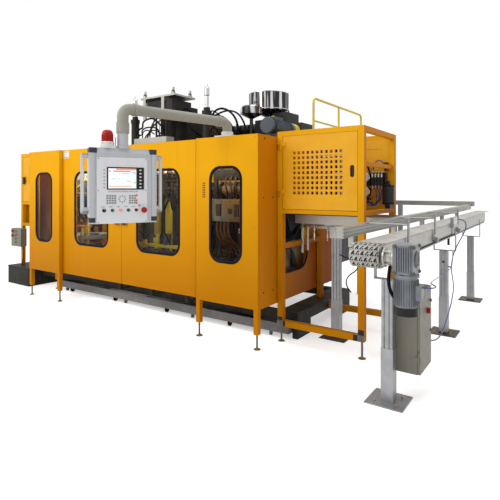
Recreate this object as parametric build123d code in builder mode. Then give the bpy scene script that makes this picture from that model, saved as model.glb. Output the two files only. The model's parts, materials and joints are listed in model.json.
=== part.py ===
from build123d import *
import math
import os

os.makedirs("parts", exist_ok=True)

# Driving dimensions, in millimetres

enclosure_length = 4058
enclosure_depth = 2000
enclosure_height = 2100
panel_bottom = 390
sheet = 3
tube = 50
seam = 0.2
run_gap = 0.3
stop_stem = 8
hinge_length = 40
hinge_offset = 9

left_panel_width = 758
right_panel_width = 790
door_split = 2068
door_gap = 6
seal_clear = 3
door_lap = 40
door_thickness = 35
door_recess = seal_clear + 5
fold_depth = 45

window_bottom = 815
window_head = 312
window_top = enclosure_height - window_head
window_corner = 130
fixed_window_width = 403
door_window_width = 700
seal_width = 16
seal_proud = 5
pane_thickness = 5

foot_pad_radius = 35
foot_pad_height = 14
stud_radius = 10
leg_bottom = 145

left_section_reach = 1062
left_section_setback = 450
left_section_rise = 50
left_section_top = enclosure_height + left_section_rise
left_door_bottom = 1354

plinth_front = 505
plinth_back = 1900
plinth_beam = 80
plinth_top = 268
plinth_bottom = 160
plinth_reach = 162
plinth_plate = 6
pedestal_length = 634
pedestal_front = 280
pedestal_back = 1500
pedestal_top = 290
pedestal_left = 5212

rail_width = 45
rail_height = 60
rail_top = 540
rail_front = 520
rail_pitch = 580
station_pitch = 675
head_x = 1988
head_y = 800
platen_width = 600
platen_bottom = 700
platen_top = 1650
platen_thickness = 60
mould_width = 420
mould_height = 450
mould_bottom = 950
mould_depth = 130
clamp_stroke = 150
platen_rib = 50
tie_bar_radius = 25
tie_bar_spread = 240
tie_bar_low = 780
tie_bar_high = 1560
tie_bar_front = 340
tie_bar_back = 1270

column = 100
column_front = 1160
column_back = 1790
beam_top = enclosure_height
deck_bottom = beam_top + 86
deck_top = deck_bottom + 24
deck_start = 2260
deck_end = 380
deck_split = 1640

pin_rod_radius = 24
pin_body_radius = 56
pin_body_top = beam_top + 500
pin_tip = beam_top - 410
pin_top = beam_top + 805
running_fit = 0.1

barrel_y = 1800
barrel_z = beam_top + 320
barrel_radius = 62
heater_radius = 85
screw_radius = 35
motor_x = 500
motor_z = beam_top + 230
motor_radius = 96
motor_front = 950
hopper_x = 1008
hopper_radius = 284
hopper_bottom = barrel_z + 222
hopper_top = barrel_z + 485
hopper_wall = 4

unit_gap = 10
unit_width = 921
unit_front = 354
unit_depth = 966
unit_height = 2150
unit_tube = 60
unit_tube_bottom = 160
unit_door_bottom = 1360
unit_rail = 50
unit_door_play = 2
unit_door_top = unit_height - unit_rail - unit_door_play
grille_columns = 11
grille_margin = 140
grille_pitch = 50
grille_hole = 29

arm_base_x = 430
arm_base_y = 80
arm_radius = 48
arm_z = enclosure_height + 152
arm_drop = 207
panel_axis_x = 670
panel_axis_y = -1070
panel_width = 560
panel_height = 590
panel_hang = 347
panel_bottom_z = arm_z - panel_hang - panel_height
panel_depth = 120
panel_turn = 61.97
end_opening_front = 400
end_opening_back = 1030
end_opening_bottom = 670
end_opening_top = 1300
end_opening_corner = 180

belt_left = 1268
belt_width = 198
belt_top = 1205
nose_radius = 74
nose_y = -756
belt_end = 3950
slat_pitch = 38
guide_left = 1128
guide_width = 60
guide_height = 78
guide_bottom = 1225
guide_end = 4600
guide_groove = 8
rear_rail_bottom = 1275
rear_rail_height = 78
rear_rail_depth = 60
leg_width = 90
leg_centre_x = 1358
leg_places = (-288, 1628, 3383)
foot_plate = 280
foot_plate_thickness = 8
leg_cap = 8

inner_front = 600
inner_width = 540
inner_bottom = 1200
inner_top = 1290

cabinet_width = 330
cabinet_height = 600
cabinet_depth = 190
cabinet_bottom = 215

tray_front = 450
tray_depth = 420
tray_bottom = 53
tray_top = 150
tray_left = 3920
tray_right = -85
caster_radius = 25

# The frame's origin is on the floor under the middle of the whole machine.
# right and front are the places of the enclosure's right end and front face in it.

reach_left = enclosure_length + left_section_reach + 128
reach_right = belt_left + belt_width + 200
reach_front = 1290
reach_back = guide_end + rear_rail_depth
right = (reach_left - reach_right) / 2
front = (reach_front - reach_back) / 2
left_end = right - enclosure_length
back = front + enclosure_depth


def slab(x0, x1, y0, y1, z0, z1):
    """A straight-sided block between two levels, made from its plan."""
    with BuildSketch(Plane.XY.offset(z0)) as plan:
        with Locations(((x0 + x1) / 2, (y0 + y1) / 2)):
            Rectangle(x1 - x0, y1 - y0)
    extrude(plan.sketch, amount=z1 - z0)


def rod(start, end, radius, mode=Mode.ADD):
    """A round bar from one point to another."""
    path = Vector(*end) - Vector(*start)
    with BuildSketch(Plane(origin=start, z_dir=path)) as section:
        Circle(radius)
    extrude(section.sketch, amount=path.length, mode=mode)


def front_plane(y):
    """A plane that faces the front at the given depth; its sketch is x by z."""
    return Plane(origin=(0, y, 0), x_dir=(1, 0, 0), z_dir=(0, -1, 0))


def side_plane(x):
    """A plane that faces the right at the given place; its sketch is y by z."""
    return Plane(origin=(x, 0, 0), x_dir=(0, 1, 0), z_dir=(1, 0, 0))


def hinge_half(x, y, z, leaf_x0, leaf_x1, leaf_y):
    """One knuckle of a hinge about a vertical pin, with its leaf against a face."""
    knuckle = 7
    rod((x, y, z), (x, y, z + hinge_length), knuckle)
    slab(leaf_x0, leaf_x1, min(y, leaf_y), leaf_y, z, z + hinge_length)


def save(sub_part, name):
    sub_part.part.label = name
    export_step(sub_part.part, f"parts/{name}.step")


# Plinth, feet and the bed that the mould shuttle runs on

bed_left = right - 3860
bed_right = right - 960
rail_rows = (front + rail_front, front + rail_front + rail_pitch)
portal_x = (right - 3250, right - 950)
column_y = (front + column_front, front + column_back)

with BuildPart() as base_frame:
    plinth_left = right - pedestal_left + pedestal_length + seam
    plinth_right = right + plinth_reach
    for y in (plinth_front, plinth_back - plinth_beam):
        slab(plinth_left, plinth_right, front + y, front + y + plinth_beam, plinth_bottom, plinth_top)
    inner_front_y = front + plinth_front + plinth_beam + seam
    inner_back_y = front + plinth_back - plinth_beam - seam
    crossings = (plinth_left, bed_left - 40, portal_x[0], right - 2400, right - 1800, portal_x[1],
                 plinth_right - plinth_beam)
    for x in crossings:
        slab(x, x + plinth_beam, inner_front_y, inner_back_y, plinth_bottom, plinth_top)
    slab(right - 60, plinth_right, front + plinth_front, front + plinth_back, plinth_top + seam,
         plinth_top + seam + plinth_plate)
    foot_width = 62
    foot_length = 300
    for x in (plinth_right - foot_width, right - 1500, right - 3000, right - 4300):
        for y in (plinth_front, plinth_back - foot_length):
            if x > right or y > plinth_front:
                slab(x, x + foot_width, front + y, front + y + foot_length, 0, plinth_bottom - seam)
    for y in rail_rows:
        slab(bed_left, bed_right, y - 40, y + 40, plinth_top + seam, rail_top - rail_height - seam)
        slab(bed_left, bed_right, y - rail_width / 2, y + rail_width / 2, rail_top - rail_height, rail_top)
        for x in (bed_left - 60 - seam, bed_right + seam):
            slab(x, x + 60, y - 50, y + 50, plinth_top + seam, rail_top + 90)
    tank_left = right - pedestal_left
    slab(tank_left, tank_left + pedestal_length, front + pedestal_front, front + pedestal_back,
         0, pedestal_top - 12)
    slab(tank_left - 6, tank_left + pedestal_length, front + pedestal_front - 6,
         front + pedestal_back + 6, pedestal_top - 12, pedestal_top)
save(base_frame, "base_frame")

# Mould shuttle: carriage, tie bars and four platens with their mould halves

station_x = {"left": right - head_x, "right": right - head_x + station_pitch}
carriage_bottom = rail_top + run_gap
carriage_top = 620
carriage_left = station_x["left"] - platen_width / 2 - 20
carriage_right = station_x["right"] + platen_width / 2 + 20

upright_width = 70
upright_depth = 50
upright_front = front + tie_bar_front
end_plate_front = front + tie_bar_back - 60
end_plate = 40
with BuildPart() as shuttle_carriage:
    beam_bottom = carriage_top - 40
    for y in rail_rows:
        slab(carriage_left, carriage_right, y - 50, y + 50, carriage_bottom, beam_bottom - seam)
    for x in station_x.values():
        for side in (-1, 1):
            place = x + side * tie_bar_spread
            slab(place - 45, place + 45, upright_front - 20, end_plate_front + end_plate + 20,
                 beam_bottom, carriage_top)
save(shuttle_carriage, "shuttle_carriage")

with BuildPart() as clamp_frames:
    for x in station_x.values():
        slab(x - platen_width / 2, x + platen_width / 2, end_plate_front, end_plate_front + end_plate,
             carriage_top + seam, platen_top)
        for side in (-1, 1):
            place = x + side * tie_bar_spread
            slab(place - upright_width / 2, place + upright_width / 2, upright_front,
                 upright_front + upright_depth, carriage_top + seam, tie_bar_high + 70)
save(clamp_frames, "clamp_frames")

with BuildPart() as tie_bars:
    for x in station_x.values():
        rod((x, end_plate_front + end_plate + seam, 1175), (x, end_plate_front + 230, 1175), 90)
        for side in (-1, 1):
            for z in (tie_bar_low, tie_bar_high):
                place = x + side * tie_bar_spread
                rod((place, upright_front + upright_depth + seam, z), (place, end_plate_front - seam, z),
                    tie_bar_radius)
                rod((place, upright_front - 30, z), (place, upright_front - seam, z), 38)
save(tie_bars, "tie_bars")

parting = front + head_y
for side, x in station_x.items():
    for place, way in (("front", -1), ("rear", 1)):
        with BuildPart() as platen:
            face = parting + way * (clamp_stroke + mould_depth)
            with BuildSketch(front_plane(face)) as platen_plan:
                with Locations((x, (platen_top + platen_bottom) / 2)):
                    RectangleRounded(platen_width - 2, platen_top - platen_bottom, 30)
                with Locations(*[(x + s * tie_bar_spread, z) for s in (-1, 1)
                                 for z in (tie_bar_low, tie_bar_high)]):
                    Circle(tie_bar_radius + running_fit, mode=Mode.SUBTRACT)
            extrude(platen_plan.sketch, amount=-way * platen_thickness)
            mould_face = parting + way * (clamp_stroke + 0.5)
            with BuildSketch(front_plane(mould_face)) as mould_plan:
                with Locations((x, mould_bottom + mould_height / 2)):
                    Rectangle(mould_width, mould_height)
            extrude(mould_plan.sketch, amount=-way * (mould_depth - 0.5 - seam))
            if place == "front":
                for s in (-1, 1):
                    with BuildSketch(front_plane(face + way * (platen_thickness + seam))) as rib:
                        with Locations((x + s * 120, (platen_top + platen_bottom) / 2)):
                            Rectangle(40, platen_top - platen_bottom - 200)
                    extrude(rib.sketch, amount=-way * platen_rib)
        save(platen, f"platen_{side}_{place}")

# Portal, blow pins and die head

with BuildPart() as portal_frame:
    for x in portal_x:
        for y in column_y:
            slab(x, x + column, y, y + column, plinth_top + seam, beam_top - column - seam)
    for y in column_y:
        slab(portal_x[0], right - deck_end, y, y + column, beam_top - column, beam_top)
    for x in (portal_x[0], right - deck_start, portal_x[1], right - deck_end - column):
        slab(x, x + column, column_y[0], back - 20, beam_top + seam, deck_bottom)
    slab(right - deck_start, right - deck_end, front + deck_split + seam, front + 1980,
         deck_bottom + seam, deck_top)
    slab(right - 1200, right - deck_end, front + motor_front + 60, front + deck_split, deck_bottom + seam,
         deck_top)
save(portal_frame, "portal_frame")

pin_x = {"left": right - head_x - station_pitch, "right": right - head_x + station_pitch}
bracket_bottom = beam_top + seam
bracket_top = bracket_bottom + 20
port_heights = (beam_top + 230, beam_top + 320)
port_reach = 76
port_half = 18
with BuildPart() as blow_cylinders:
    for x in pin_x.values():
        slab(x - 90, x + 90, parting - 90, front + column_front + column, bracket_bottom, bracket_top)
        rod((x, parting, bracket_top + seam), (x, parting, pin_body_top - 40), pin_body_radius)
        rod((x, parting, pin_body_top - 90), (x, parting, pin_body_top - 40), pin_body_radius + 8)
        rod((x, parting, pin_body_top - 40 + seam), (x, parting, pin_body_top), 42)
        for z in port_heights:
            slab(x + pin_rod_radius + 10, x + port_reach, parting - port_half, parting + port_half,
                 z - port_half, z + port_half)
        rod((x, parting, bracket_bottom - 1), (x, parting, pin_body_top + 1),
            pin_rod_radius + running_fit, mode=Mode.SUBTRACT)
save(blow_cylinders, "blow_cylinders")

for side, x in pin_x.items():
    with BuildPart() as blow_pin:
        with BuildSketch(Plane(origin=(x, parting, 0), x_dir=(1, 0, 0), z_dir=(0, -1, 0))):
            with BuildLine():
                Polyline((0, pin_tip), (14, pin_tip), (pin_rod_radius, pin_tip + 30),
                         (pin_rod_radius, pin_body_top + 150), (34, pin_body_top + 160),
                         (34, pin_top - 60), (26, pin_top - 38), (12, pin_top - 32),
                         (12, pin_top - 8), (0, pin_top), (0, pin_tip))
            make_face()
        revolve(axis=Axis((x, parting, 0), (0, 0, 1)))
    save(blow_pin, f"blow_pin_{side}")

head_centre = right - head_x
head_half = 235
head_front = parting - 180
head_back = parting + 190
collar_radius = 190
collar_top = beam_top + 100
neck_radius = 90
block_bottom = beam_top + 440
block_top = block_bottom + 200
rod_offset = 120
fitting_top = collar_top + 90
fitting_places = (-60, 27)
with BuildPart() as die_head:
    with BuildSketch(Plane(origin=(head_centre, parting, 0), x_dir=(1, 0, 0), z_dir=(0, -1, 0))):
        with BuildLine():
            nozzle = collar_top - 495
            Polyline((0, nozzle), (60, nozzle), (75, nozzle + 55), (110, nozzle + 75), (110, collar_top - 240),
                     (collar_radius, collar_top - 200), (collar_radius, collar_top),
                     (neck_radius, collar_top + 30), (neck_radius, block_bottom), (0, block_bottom), (0, nozzle))
        make_face()
    revolve(axis=Axis((head_centre, parting, 0), (0, 0, 1)))
    slab(head_centre - head_half, head_centre + head_half, head_front, head_back, block_bottom + seam, block_top)
    rod_y = parting - rod_offset
    for x in (-116, -17, 70):
        rod((head_centre + x, rod_y, collar_top), (head_centre + x, rod_y, block_bottom), 12)
    for x in fitting_places:
        slab(head_centre + x - 20, head_centre + x + 20, rod_y - 20, rod_y + 20, collar_top - 10, fitting_top)
    steps = ((head_back, parting + 420, -205, 150, collar_top + 30, block_top - 40),
             (parting + 420, parting + 650, -150, 130, collar_top + 60, block_top - 120),
             (parting + 650, front + barrel_y + 110, -110, 110, barrel_z - 140, barrel_z + 130))
    for y0, y1, x0, x1, z0, z1 in steps:
        slab(head_centre + x0, head_centre + x1, y0 + seam, y1, z0, z1)
    slab(head_centre - 150, head_centre + 110, column_y[0], column_y[0] + column,
         beam_top + seam, collar_top + 60 - seam)
save(die_head, "die_head")

with BuildPart() as head_top_plate:
    plate_bottom = block_top + 38
    plate_top = plate_bottom + 22
    slab(head_centre - 340, head_centre + 300, head_front - 20, head_back + 10, plate_bottom, plate_top)
    for x in (head_centre - 290, head_centre + 60):
        slab(x, x + 50, head_front - 20, head_front - seam, block_bottom - 40, plate_bottom)
        slab(x, x + 50, head_front - 20, head_back, block_top + seam, plate_bottom)
    for x, y in ((-300, -150), (-230, 150), (230, -150), (250, 150)):
        rod((head_centre + x, parting + y, plate_top + seam),
            (head_centre + x, parting + y, plate_top + 95), 17)
        rod((head_centre + x, parting + y, plate_top + seam),
            (head_centre + x, parting + y, plate_top + 30), 28)
save(head_top_plate, "head_top_plate")

# Extruder, its drive and its hoppers

axis_y = front + barrel_y
barrel_left = head_centre + 110 + seam
feed_left = right - hopper_x - 150
with BuildPart() as extruder:
    rod((barrel_left, axis_y, barrel_z), (feed_left - seam, axis_y, barrel_z), barrel_radius)
    band_count = 5
    band_pitch = (feed_left - barrel_left) / band_count
    for n in range(band_count):
        x = barrel_left + (n + 0.15) * band_pitch
        rod((x, axis_y, barrel_z), (x + 0.7 * band_pitch, axis_y, barrel_z), heater_radius)
    rod((barrel_left + 20, axis_y, barrel_z), (feed_left, axis_y, barrel_z), screw_radius + run_gap,
        mode=Mode.SUBTRACT)
    platform = deck_top + seam
    slab(feed_left, feed_left + 300, axis_y - 130, axis_y + 130, platform, barrel_z + 110)
    gearbox_left = feed_left + 300 + seam
    slab(gearbox_left, right - 400, axis_y - 160, axis_y + 170, platform, barrel_z + 20)
    slab(gearbox_left, right - 620, axis_y - 160, axis_y + 170, barrel_z + 20 + seam, barrel_z + 180)
save(extruder, "extruder")

with BuildPart() as extruder_screw:
    screw_start = barrel_left + 30
    screw_end = feed_left - 1
    rod((screw_start, axis_y, barrel_z), (screw_end, axis_y, barrel_z), screw_radius - 9)
    flight_count = 12
    flight_pitch = (screw_end - screw_start) / flight_count
    for n in range(flight_count):
        x = screw_start + (n + 0.4) * flight_pitch
        rod((x, axis_y, barrel_z), (x + 9, axis_y, barrel_z), screw_radius)
save(extruder_screw, "extruder_screw")

with BuildPart() as drive_motor:
    x = right - motor_x
    gear_face = axis_y - 160 - seam
    guard = 140
    cover = 26
    rod((x, front + motor_front, motor_z), (x, front + motor_front + cover, motor_z), motor_radius)
    rod((x, front + motor_front + cover, motor_z), (x, gear_face - guard - seam, motor_z),
        motor_radius - 8)
    fin_count = 28
    with BuildSketch(Plane(origin=(x, front + motor_front + cover, motor_z), z_dir=(0, 1, 0))) as fins:
        with PolarLocations(motor_radius - 8, fin_count):
            Rectangle(14, 4)
    extrude(fins.sketch, amount=gear_face - guard - seam - front - motor_front - cover - 60)
    slab(x - 60, x + 30, front + motor_front + 150, front + motor_front + 330,
         motor_z + motor_radius - 20, motor_z + motor_radius + 30)
    rod((x, gear_face - guard, motor_z), (x, gear_face - seam, motor_z), motor_radius - 12)
    for y in (front + motor_front + 80, gear_face - guard - 120):
        slab(x - 70, x + 70, y, y + 40, deck_top + seam, motor_z - motor_radius - seam)
save(drive_motor, "drive_motor")

hopper_centre = right - hopper_x
with BuildPart() as hoppers:
    with BuildSketch(Plane(origin=(hopper_centre, axis_y, 0), x_dir=(1, 0, 0), z_dir=(0, -1, 0))):
        with BuildLine():
            throat = 55
            floor_z = barrel_z + 110 + seam
            Polyline((throat, floor_z), (throat, floor_z + 60),
                     (hopper_radius - hopper_wall, hopper_bottom + 20),
                     (hopper_radius - hopper_wall, hopper_top), (hopper_radius, hopper_top),
                     (hopper_radius, hopper_bottom + 14), (throat + 6, floor_z + 54),
                     (throat + 6, floor_z + 14), (throat + 45, floor_z + 14), (throat + 45, floor_z),
                     (throat, floor_z))
        make_face()
    revolve(axis=Axis((hopper_centre, axis_y, 0), (0, 0, 1)))
    cup_x = right - 1000
    cup_y = front + 1350
    with BuildSketch(Plane(origin=(cup_x, cup_y, 0), x_dir=(1, 0, 0), z_dir=(0, -1, 0))) as cup:
        with BuildLine():
            bowl = deck_top + 290
            Polyline((0, deck_top + seam), (60, deck_top + seam), (60, deck_top + 12), (24, deck_top + 12),
                     (24, bowl), (146, bowl + 60), (146, bowl + 72), (151, bowl + 72), (151, bowl + 84),
                     (146, bowl + 84), (146, bowl + 148), (120, bowl + 168), (0, bowl + 176),
                     (0, deck_top + seam))
        make_face()
    revolve(cup.sketch, axis=Axis((cup_x, cup_y, 0), (0, 0, 1)))
save(hoppers, "hoppers")

# Enclosure: frame, fixed panels, doors and windows

post_back = front + sheet + tube
front_posts = (left_end, left_end + left_panel_width - tube, right - right_panel_width, right - tube)
with BuildPart() as enclosure_frame:
    for x in front_posts:
        slab(x, x + tube, front + sheet + seam, post_back, leg_bottom, enclosure_height)
    for x in (left_end, right - door_split, right - tube):
        slab(x, x + tube, back - tube, back, leg_bottom, enclosure_height)
    for level in (panel_bottom + seam, enclosure_height - tube):
        for x0, x1 in ((front_posts[0], front_posts[1]), (front_posts[2], front_posts[3])):
            slab(x0 + tube + seam, x1 - seam, front + sheet + seam, post_back, level, level + tube)
        for x in (left_end, right - tube):
            slab(x, x + tube, post_back + seam, back - tube - seam, level, level + tube)
        for x0, x1 in ((left_end, right - door_split), (right - door_split, right - tube)):
            slab(x0 + tube + seam, x1 - seam, back - tube, back, level, level + tube)
        rail_y = front + sheet + tube + door_recess + door_thickness + 20
        slab(left_end + tube + seam, right - tube - seam, rail_y, rail_y + 40, level, level + 40)
save(enclosure_frame, "enclosure_frame")

window_height = window_top - window_bottom
window_mid = (window_top + window_bottom) / 2
fixed_spans = {"left": (left_end, left_end + left_panel_width), "right": (right - right_panel_width, right)}


def window_ring(centre_x, width, face_y):
    """A rubber seal that grips the sheet's edge and holds the pane."""
    with BuildSketch(front_plane(face_y - seal_proud)) as ring:
        with Locations((centre_x, window_mid)):
            RectangleRounded(width - 2 * seam, window_height - 2 * seam, window_corner)
            RectangleRounded(width - 2 * seal_width, window_height - 2 * seal_width,
                             window_corner - seal_width, mode=Mode.SUBTRACT)
    extrude(ring.sketch, amount=-(seal_proud + sheet + 6))


def window_pane(centre_x, width, face_y):
    with BuildSketch(front_plane(face_y)) as pane:
        with Locations((centre_x, window_mid)):
            RectangleRounded(width - 2 * (seal_width + seam), window_height - 2 * (seal_width + seam),
                             window_corner - seal_width - seam)
    extrude(pane.sketch, amount=-pane_thickness)


with BuildPart() as cover_panels:
    for x0, x1 in fixed_spans.values():
        with BuildSketch(front_plane(front)) as skin:
            with Locations(((x0 + x1) / 2, (panel_bottom + enclosure_height) / 2)):
                Rectangle(x1 - x0, enclosure_height - panel_bottom)
            with Locations(((x0 + x1) / 2, window_mid)):
                RectangleRounded(fixed_window_width, window_height, window_corner, mode=Mode.SUBTRACT)
        extrude(skin.sketch, amount=-sheet)
    for x0, x1 in ((left_end, right - door_split), (right - door_split, right)):
        slab(x0 + 1, x1 - 1, back + seam, back + seam + sheet, panel_bottom, enclosure_height)
    slab(left_end - seam - sheet, left_end - seam, front + sheet, back, panel_bottom, enclosure_height)
save(cover_panels, "cover_panels")

with BuildPart() as fixed_windows:
    for x0, x1 in fixed_spans.values():
        window_ring((x0 + x1) / 2, fixed_window_width, front)
        window_pane((x0 + x1) / 2, fixed_window_width, front)
save(fixed_windows, "fixed_windows")

split_x = right - door_split
door_face = post_back + door_recess
door_spans = {
    "left": (left_end + left_panel_width - door_lap, split_x - door_gap / 2),
    "right": (split_x + door_gap / 2, right - right_panel_width + door_lap),
}
door_window_x = {"left": right - 2679, "right": right - 1438}
for side, (x0, x1) in door_spans.items():
    centre = door_window_x[side]
    with BuildPart() as door:
        with BuildSketch(front_plane(door_face)) as leaf:
            with Locations(((x0 + x1) / 2, (panel_bottom + enclosure_height) / 2)):
                Rectangle(x1 - x0, enclosure_height - panel_bottom)
        extrude(leaf.sketch, amount=-door_thickness)
        with BuildSketch(front_plane(door_face + sheet)) as pocket:
            with Locations(((x0 + x1) / 2, (panel_bottom + enclosure_height) / 2)):
                Rectangle(x1 - x0 - 50, enclosure_height - panel_bottom - 50)
            with Locations((centre, window_mid)):
                RectangleRounded(door_window_width + 60, window_height + 60, window_corner + 30,
                                 mode=Mode.SUBTRACT)
        extrude(pocket.sketch, amount=-door_thickness, mode=Mode.SUBTRACT)
        with BuildSketch(front_plane(door_face)) as hole:
            with Locations((centre, window_mid)):
                RectangleRounded(door_window_width, window_height, window_corner)
        extrude(hole.sketch, amount=-door_thickness, mode=Mode.SUBTRACT)
        grip_x = x1 - 110 if side == "left" else x0 + 20
        slab(grip_x, grip_x + 90, door_face - 26, door_face - 14, 1120, 1330)
        for z in (1120, 1310):
            slab(grip_x, grip_x + 90, door_face - 14, door_face - seam, z, z + 20)
        for x in (x0 + 120, x1 - 200):
            slab(x, x + 80, door_face + door_thickness + seam, rail_y + 38,
                 panel_bottom + seam + 40 + run_gap, panel_bottom + 75)
            slab(x, x + 80, door_face + door_thickness + seam, rail_y - run_gap,
                 enclosure_height - tube + 5, enclosure_height - tube + 35)
    save(door, f"door_{side}")
    with BuildPart() as door_window:
        window_ring(centre, door_window_width, door_face)
        window_pane(centre, door_window_width, door_face)
    save(door_window, f"door_window_{side}")

with BuildPart() as end_panel:
    opening_y0 = front + end_opening_front
    opening_y1 = front + end_opening_back
    end_face = side_plane(right + seam)
    with BuildSketch(end_face) as skin:
        with Locations((front + enclosure_depth / 2, (panel_bottom + enclosure_height) / 2)):
            Rectangle(enclosure_depth, enclosure_height - panel_bottom)
        with Locations(((opening_y0 + opening_y1) / 2, (end_opening_bottom + end_opening_top) / 2)):
            RectangleRounded(opening_y1 - opening_y0, end_opening_top - end_opening_bottom,
                             end_opening_corner, mode=Mode.SUBTRACT)
    extrude(skin.sketch, amount=sheet)
save(end_panel, "end_panel")

# Left section with its door, and the small operator box on its post

section_left = left_end - left_section_reach
section_front = front + left_section_setback
section_right = left_end - 8
section_back = back - 40
with BuildPart() as left_frame:
    posts = (section_left, section_right - tube)
    for x in posts:
        for y in (section_front, section_back - tube):
            bottom = pedestal_top + seam if x == section_left and y == section_front else leg_bottom
            slab(x, x + tube, y, y + tube, bottom, left_section_top)
    for level in (940, 1300, left_section_top - tube):
        for y in (section_front, section_back - tube):
            slab(posts[0] + tube + seam, posts[1] - seam, y, y + tube, level, level + tube)
        for x in posts:
            slab(x, x + tube, section_front + tube + seam, section_back - tube - seam, level, level + tube)
    slab(section_left - seam - sheet, section_left - seam, section_front, section_back,
         940, left_section_top)
    slab(posts[0] + tube + seam, posts[1] - seam, section_back - tube / 2, section_back - tube / 2 + sheet,
         990 + seam, 1300 - seam)
    door_x0 = section_left + tube + 4
    door_x1 = section_right - tube - 4
    left_pin = (door_x1 + 2, section_front - hinge_offset)
    left_hinges = (left_door_bottom + 96, left_section_top - 200)
    for z in left_hinges:
        hinge_half(*left_pin, z, left_pin[0], left_pin[0] + 32, section_front - seam)
save(left_frame, "left_frame")

with BuildPart() as left_door:
    for z in left_hinges:
        hinge_half(*left_pin, z + hinge_length + run_gap, left_pin[0] - 32, left_pin[0], section_front + 4)
    left_door_top = left_section_top - tube - 4
    slab(door_x0, door_x1, section_front + 4, section_front + 24, left_door_bottom, left_door_top)
    handle_x = door_x0 + 30
    handle_z = (left_door_bottom + left_door_top) / 2 - 25
    slab(handle_x, handle_x + 60, section_front - 26, section_front - 12, handle_z - 60, handle_z + 60)
    for z in (handle_z - 55, handle_z + 35):
        slab(handle_x + 10, handle_x + 50, section_front - 12, section_front + 4 - seam, z, z + 20)
save(left_door, "left_door")

box_left = section_left - 128
box_right = box_left + 299
box_front = section_front - 100
with BuildPart() as operator_box:
    with BuildSketch(front_plane(section_front - seam)) as case:
        with Locations(((box_left + box_right) / 2, 750)):
            RectangleRounded(box_right - box_left, 300, 8)
    extrude(case.sketch, amount=100)
    stop_x = box_left + 65
    stop_heights = {"upper": 855, "lower": 780}
    button_x = box_left + 150
    for z, radius, length in ((855, 15, 18), (790, 13, 26), (730, 13, 26), (670, 13, 26)):
        rod((button_x, box_front, z), (button_x, box_front - length, z), radius)
    for z in stop_heights.values():
        rod((stop_x, box_front, z), (stop_x, box_front - 6, z), 17)
        rod((stop_x, box_front + 12, z), (stop_x, box_front - 7, z), stop_stem + running_fit,
            mode=Mode.SUBTRACT)
save(operator_box, "operator_box")

for place, z in stop_heights.items():
    with BuildPart() as box_stop:
        rod((stop_x, box_front, z), (stop_x, box_front - 16, z), stop_stem)
        rod((stop_x, box_front - 16, z), (stop_x, box_front - 28, z), 20)
        rod((stop_x, box_front - 28, z), (stop_x, box_front - 34, z), 15)
    save(box_stop, f"box_stop_{place}")

# Take-out unit with its door, board and railing

unit_left = right + unit_gap
unit_right = unit_left + unit_width
unit_y0 = front + unit_front
unit_y1 = unit_y0 + unit_depth
with BuildPart() as unit_frame:
    post_x = (unit_left, unit_right - unit_tube)
    post_y = (unit_y0, unit_y1 - unit_tube)
    for x in post_x:
        for y in post_y:
            on_plinth = x == post_x[0] and y == post_y[1]
            plate_top = plinth_top + plinth_plate + 2 * seam
            post_bottom = plate_top if on_plinth else unit_tube_bottom
            slab(x, x + unit_tube, y, y + unit_tube, post_bottom, unit_height)
    inner_x = (post_x[0] + unit_tube + seam, post_x[1] - seam)
    inner_y = (post_y[0] + unit_tube + seam, post_y[1] - seam)
    lower_rail = unit_door_bottom - 45
    for y in post_y:
        slab(*inner_x, y, y + unit_tube, unit_height - unit_rail, unit_height)
        slab(*inner_x, y, y + unit_tube, lower_rail, lower_rail + 40)
        low_start = inner_x[0] if y == post_y[0] else plinth_right + seam
        slab(low_start, inner_x[1], y, y + unit_tube, unit_tube_bottom, unit_tube_bottom + unit_tube)
    for x in post_x:
        slab(x, x + unit_tube, *inner_y, unit_height - unit_rail, unit_height)
        slab(x, x + unit_tube, *inner_y, lower_rail, lower_rail + 40)
        slab(x, x + 40, *inner_y, unit_height - 370, unit_height - 330)
    slab(unit_left, unit_left + unit_tube, *inner_y, 950, 1000)
    x0 = inner_x[0] + 4
    x1 = inner_x[1] - 4
    unit_pin = (x0 - 2, unit_y0 - hinge_offset)
    unit_hinges = (unit_door_bottom + 120, unit_door_top - 138)
    for z in unit_hinges:
        hinge_half(*unit_pin, z, unit_pin[0] - 32, unit_pin[0], unit_y0 - seam)
save(unit_frame, "unit_frame")

with BuildPart() as unit_door:
    for z in unit_hinges:
        hinge_half(*unit_pin, z + hinge_length + run_gap, unit_pin[0], unit_pin[0] + 32, unit_y0 + 2)
    mid_z = (unit_door_bottom + unit_door_top) / 2
    grille_rows = int((unit_door_top - unit_door_bottom - 2 * grille_margin) / grille_pitch)
    with BuildSketch(front_plane(unit_y0 + 2)) as leaf:
        with Locations(((x0 + x1) / 2, mid_z)):
            Rectangle(x1 - x0, unit_door_top - unit_door_bottom)
        with Locations((right + 455, mid_z - 5)):
            with GridLocations(grille_pitch, grille_pitch, grille_columns, grille_rows):
                Rectangle(grille_hole, grille_hole, mode=Mode.SUBTRACT)
        with Locations((right + 815, mid_z + 1)):
            SlotOverall(115, 44, rotation=90, mode=Mode.SUBTRACT)
    extrude(leaf.sketch, amount=-20)
    slab(right + 783, right + 847, unit_y0 + 22 + seam, unit_y0 + 40, mid_z - 64, mid_z + 66)
save(unit_door, "unit_door")

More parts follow.
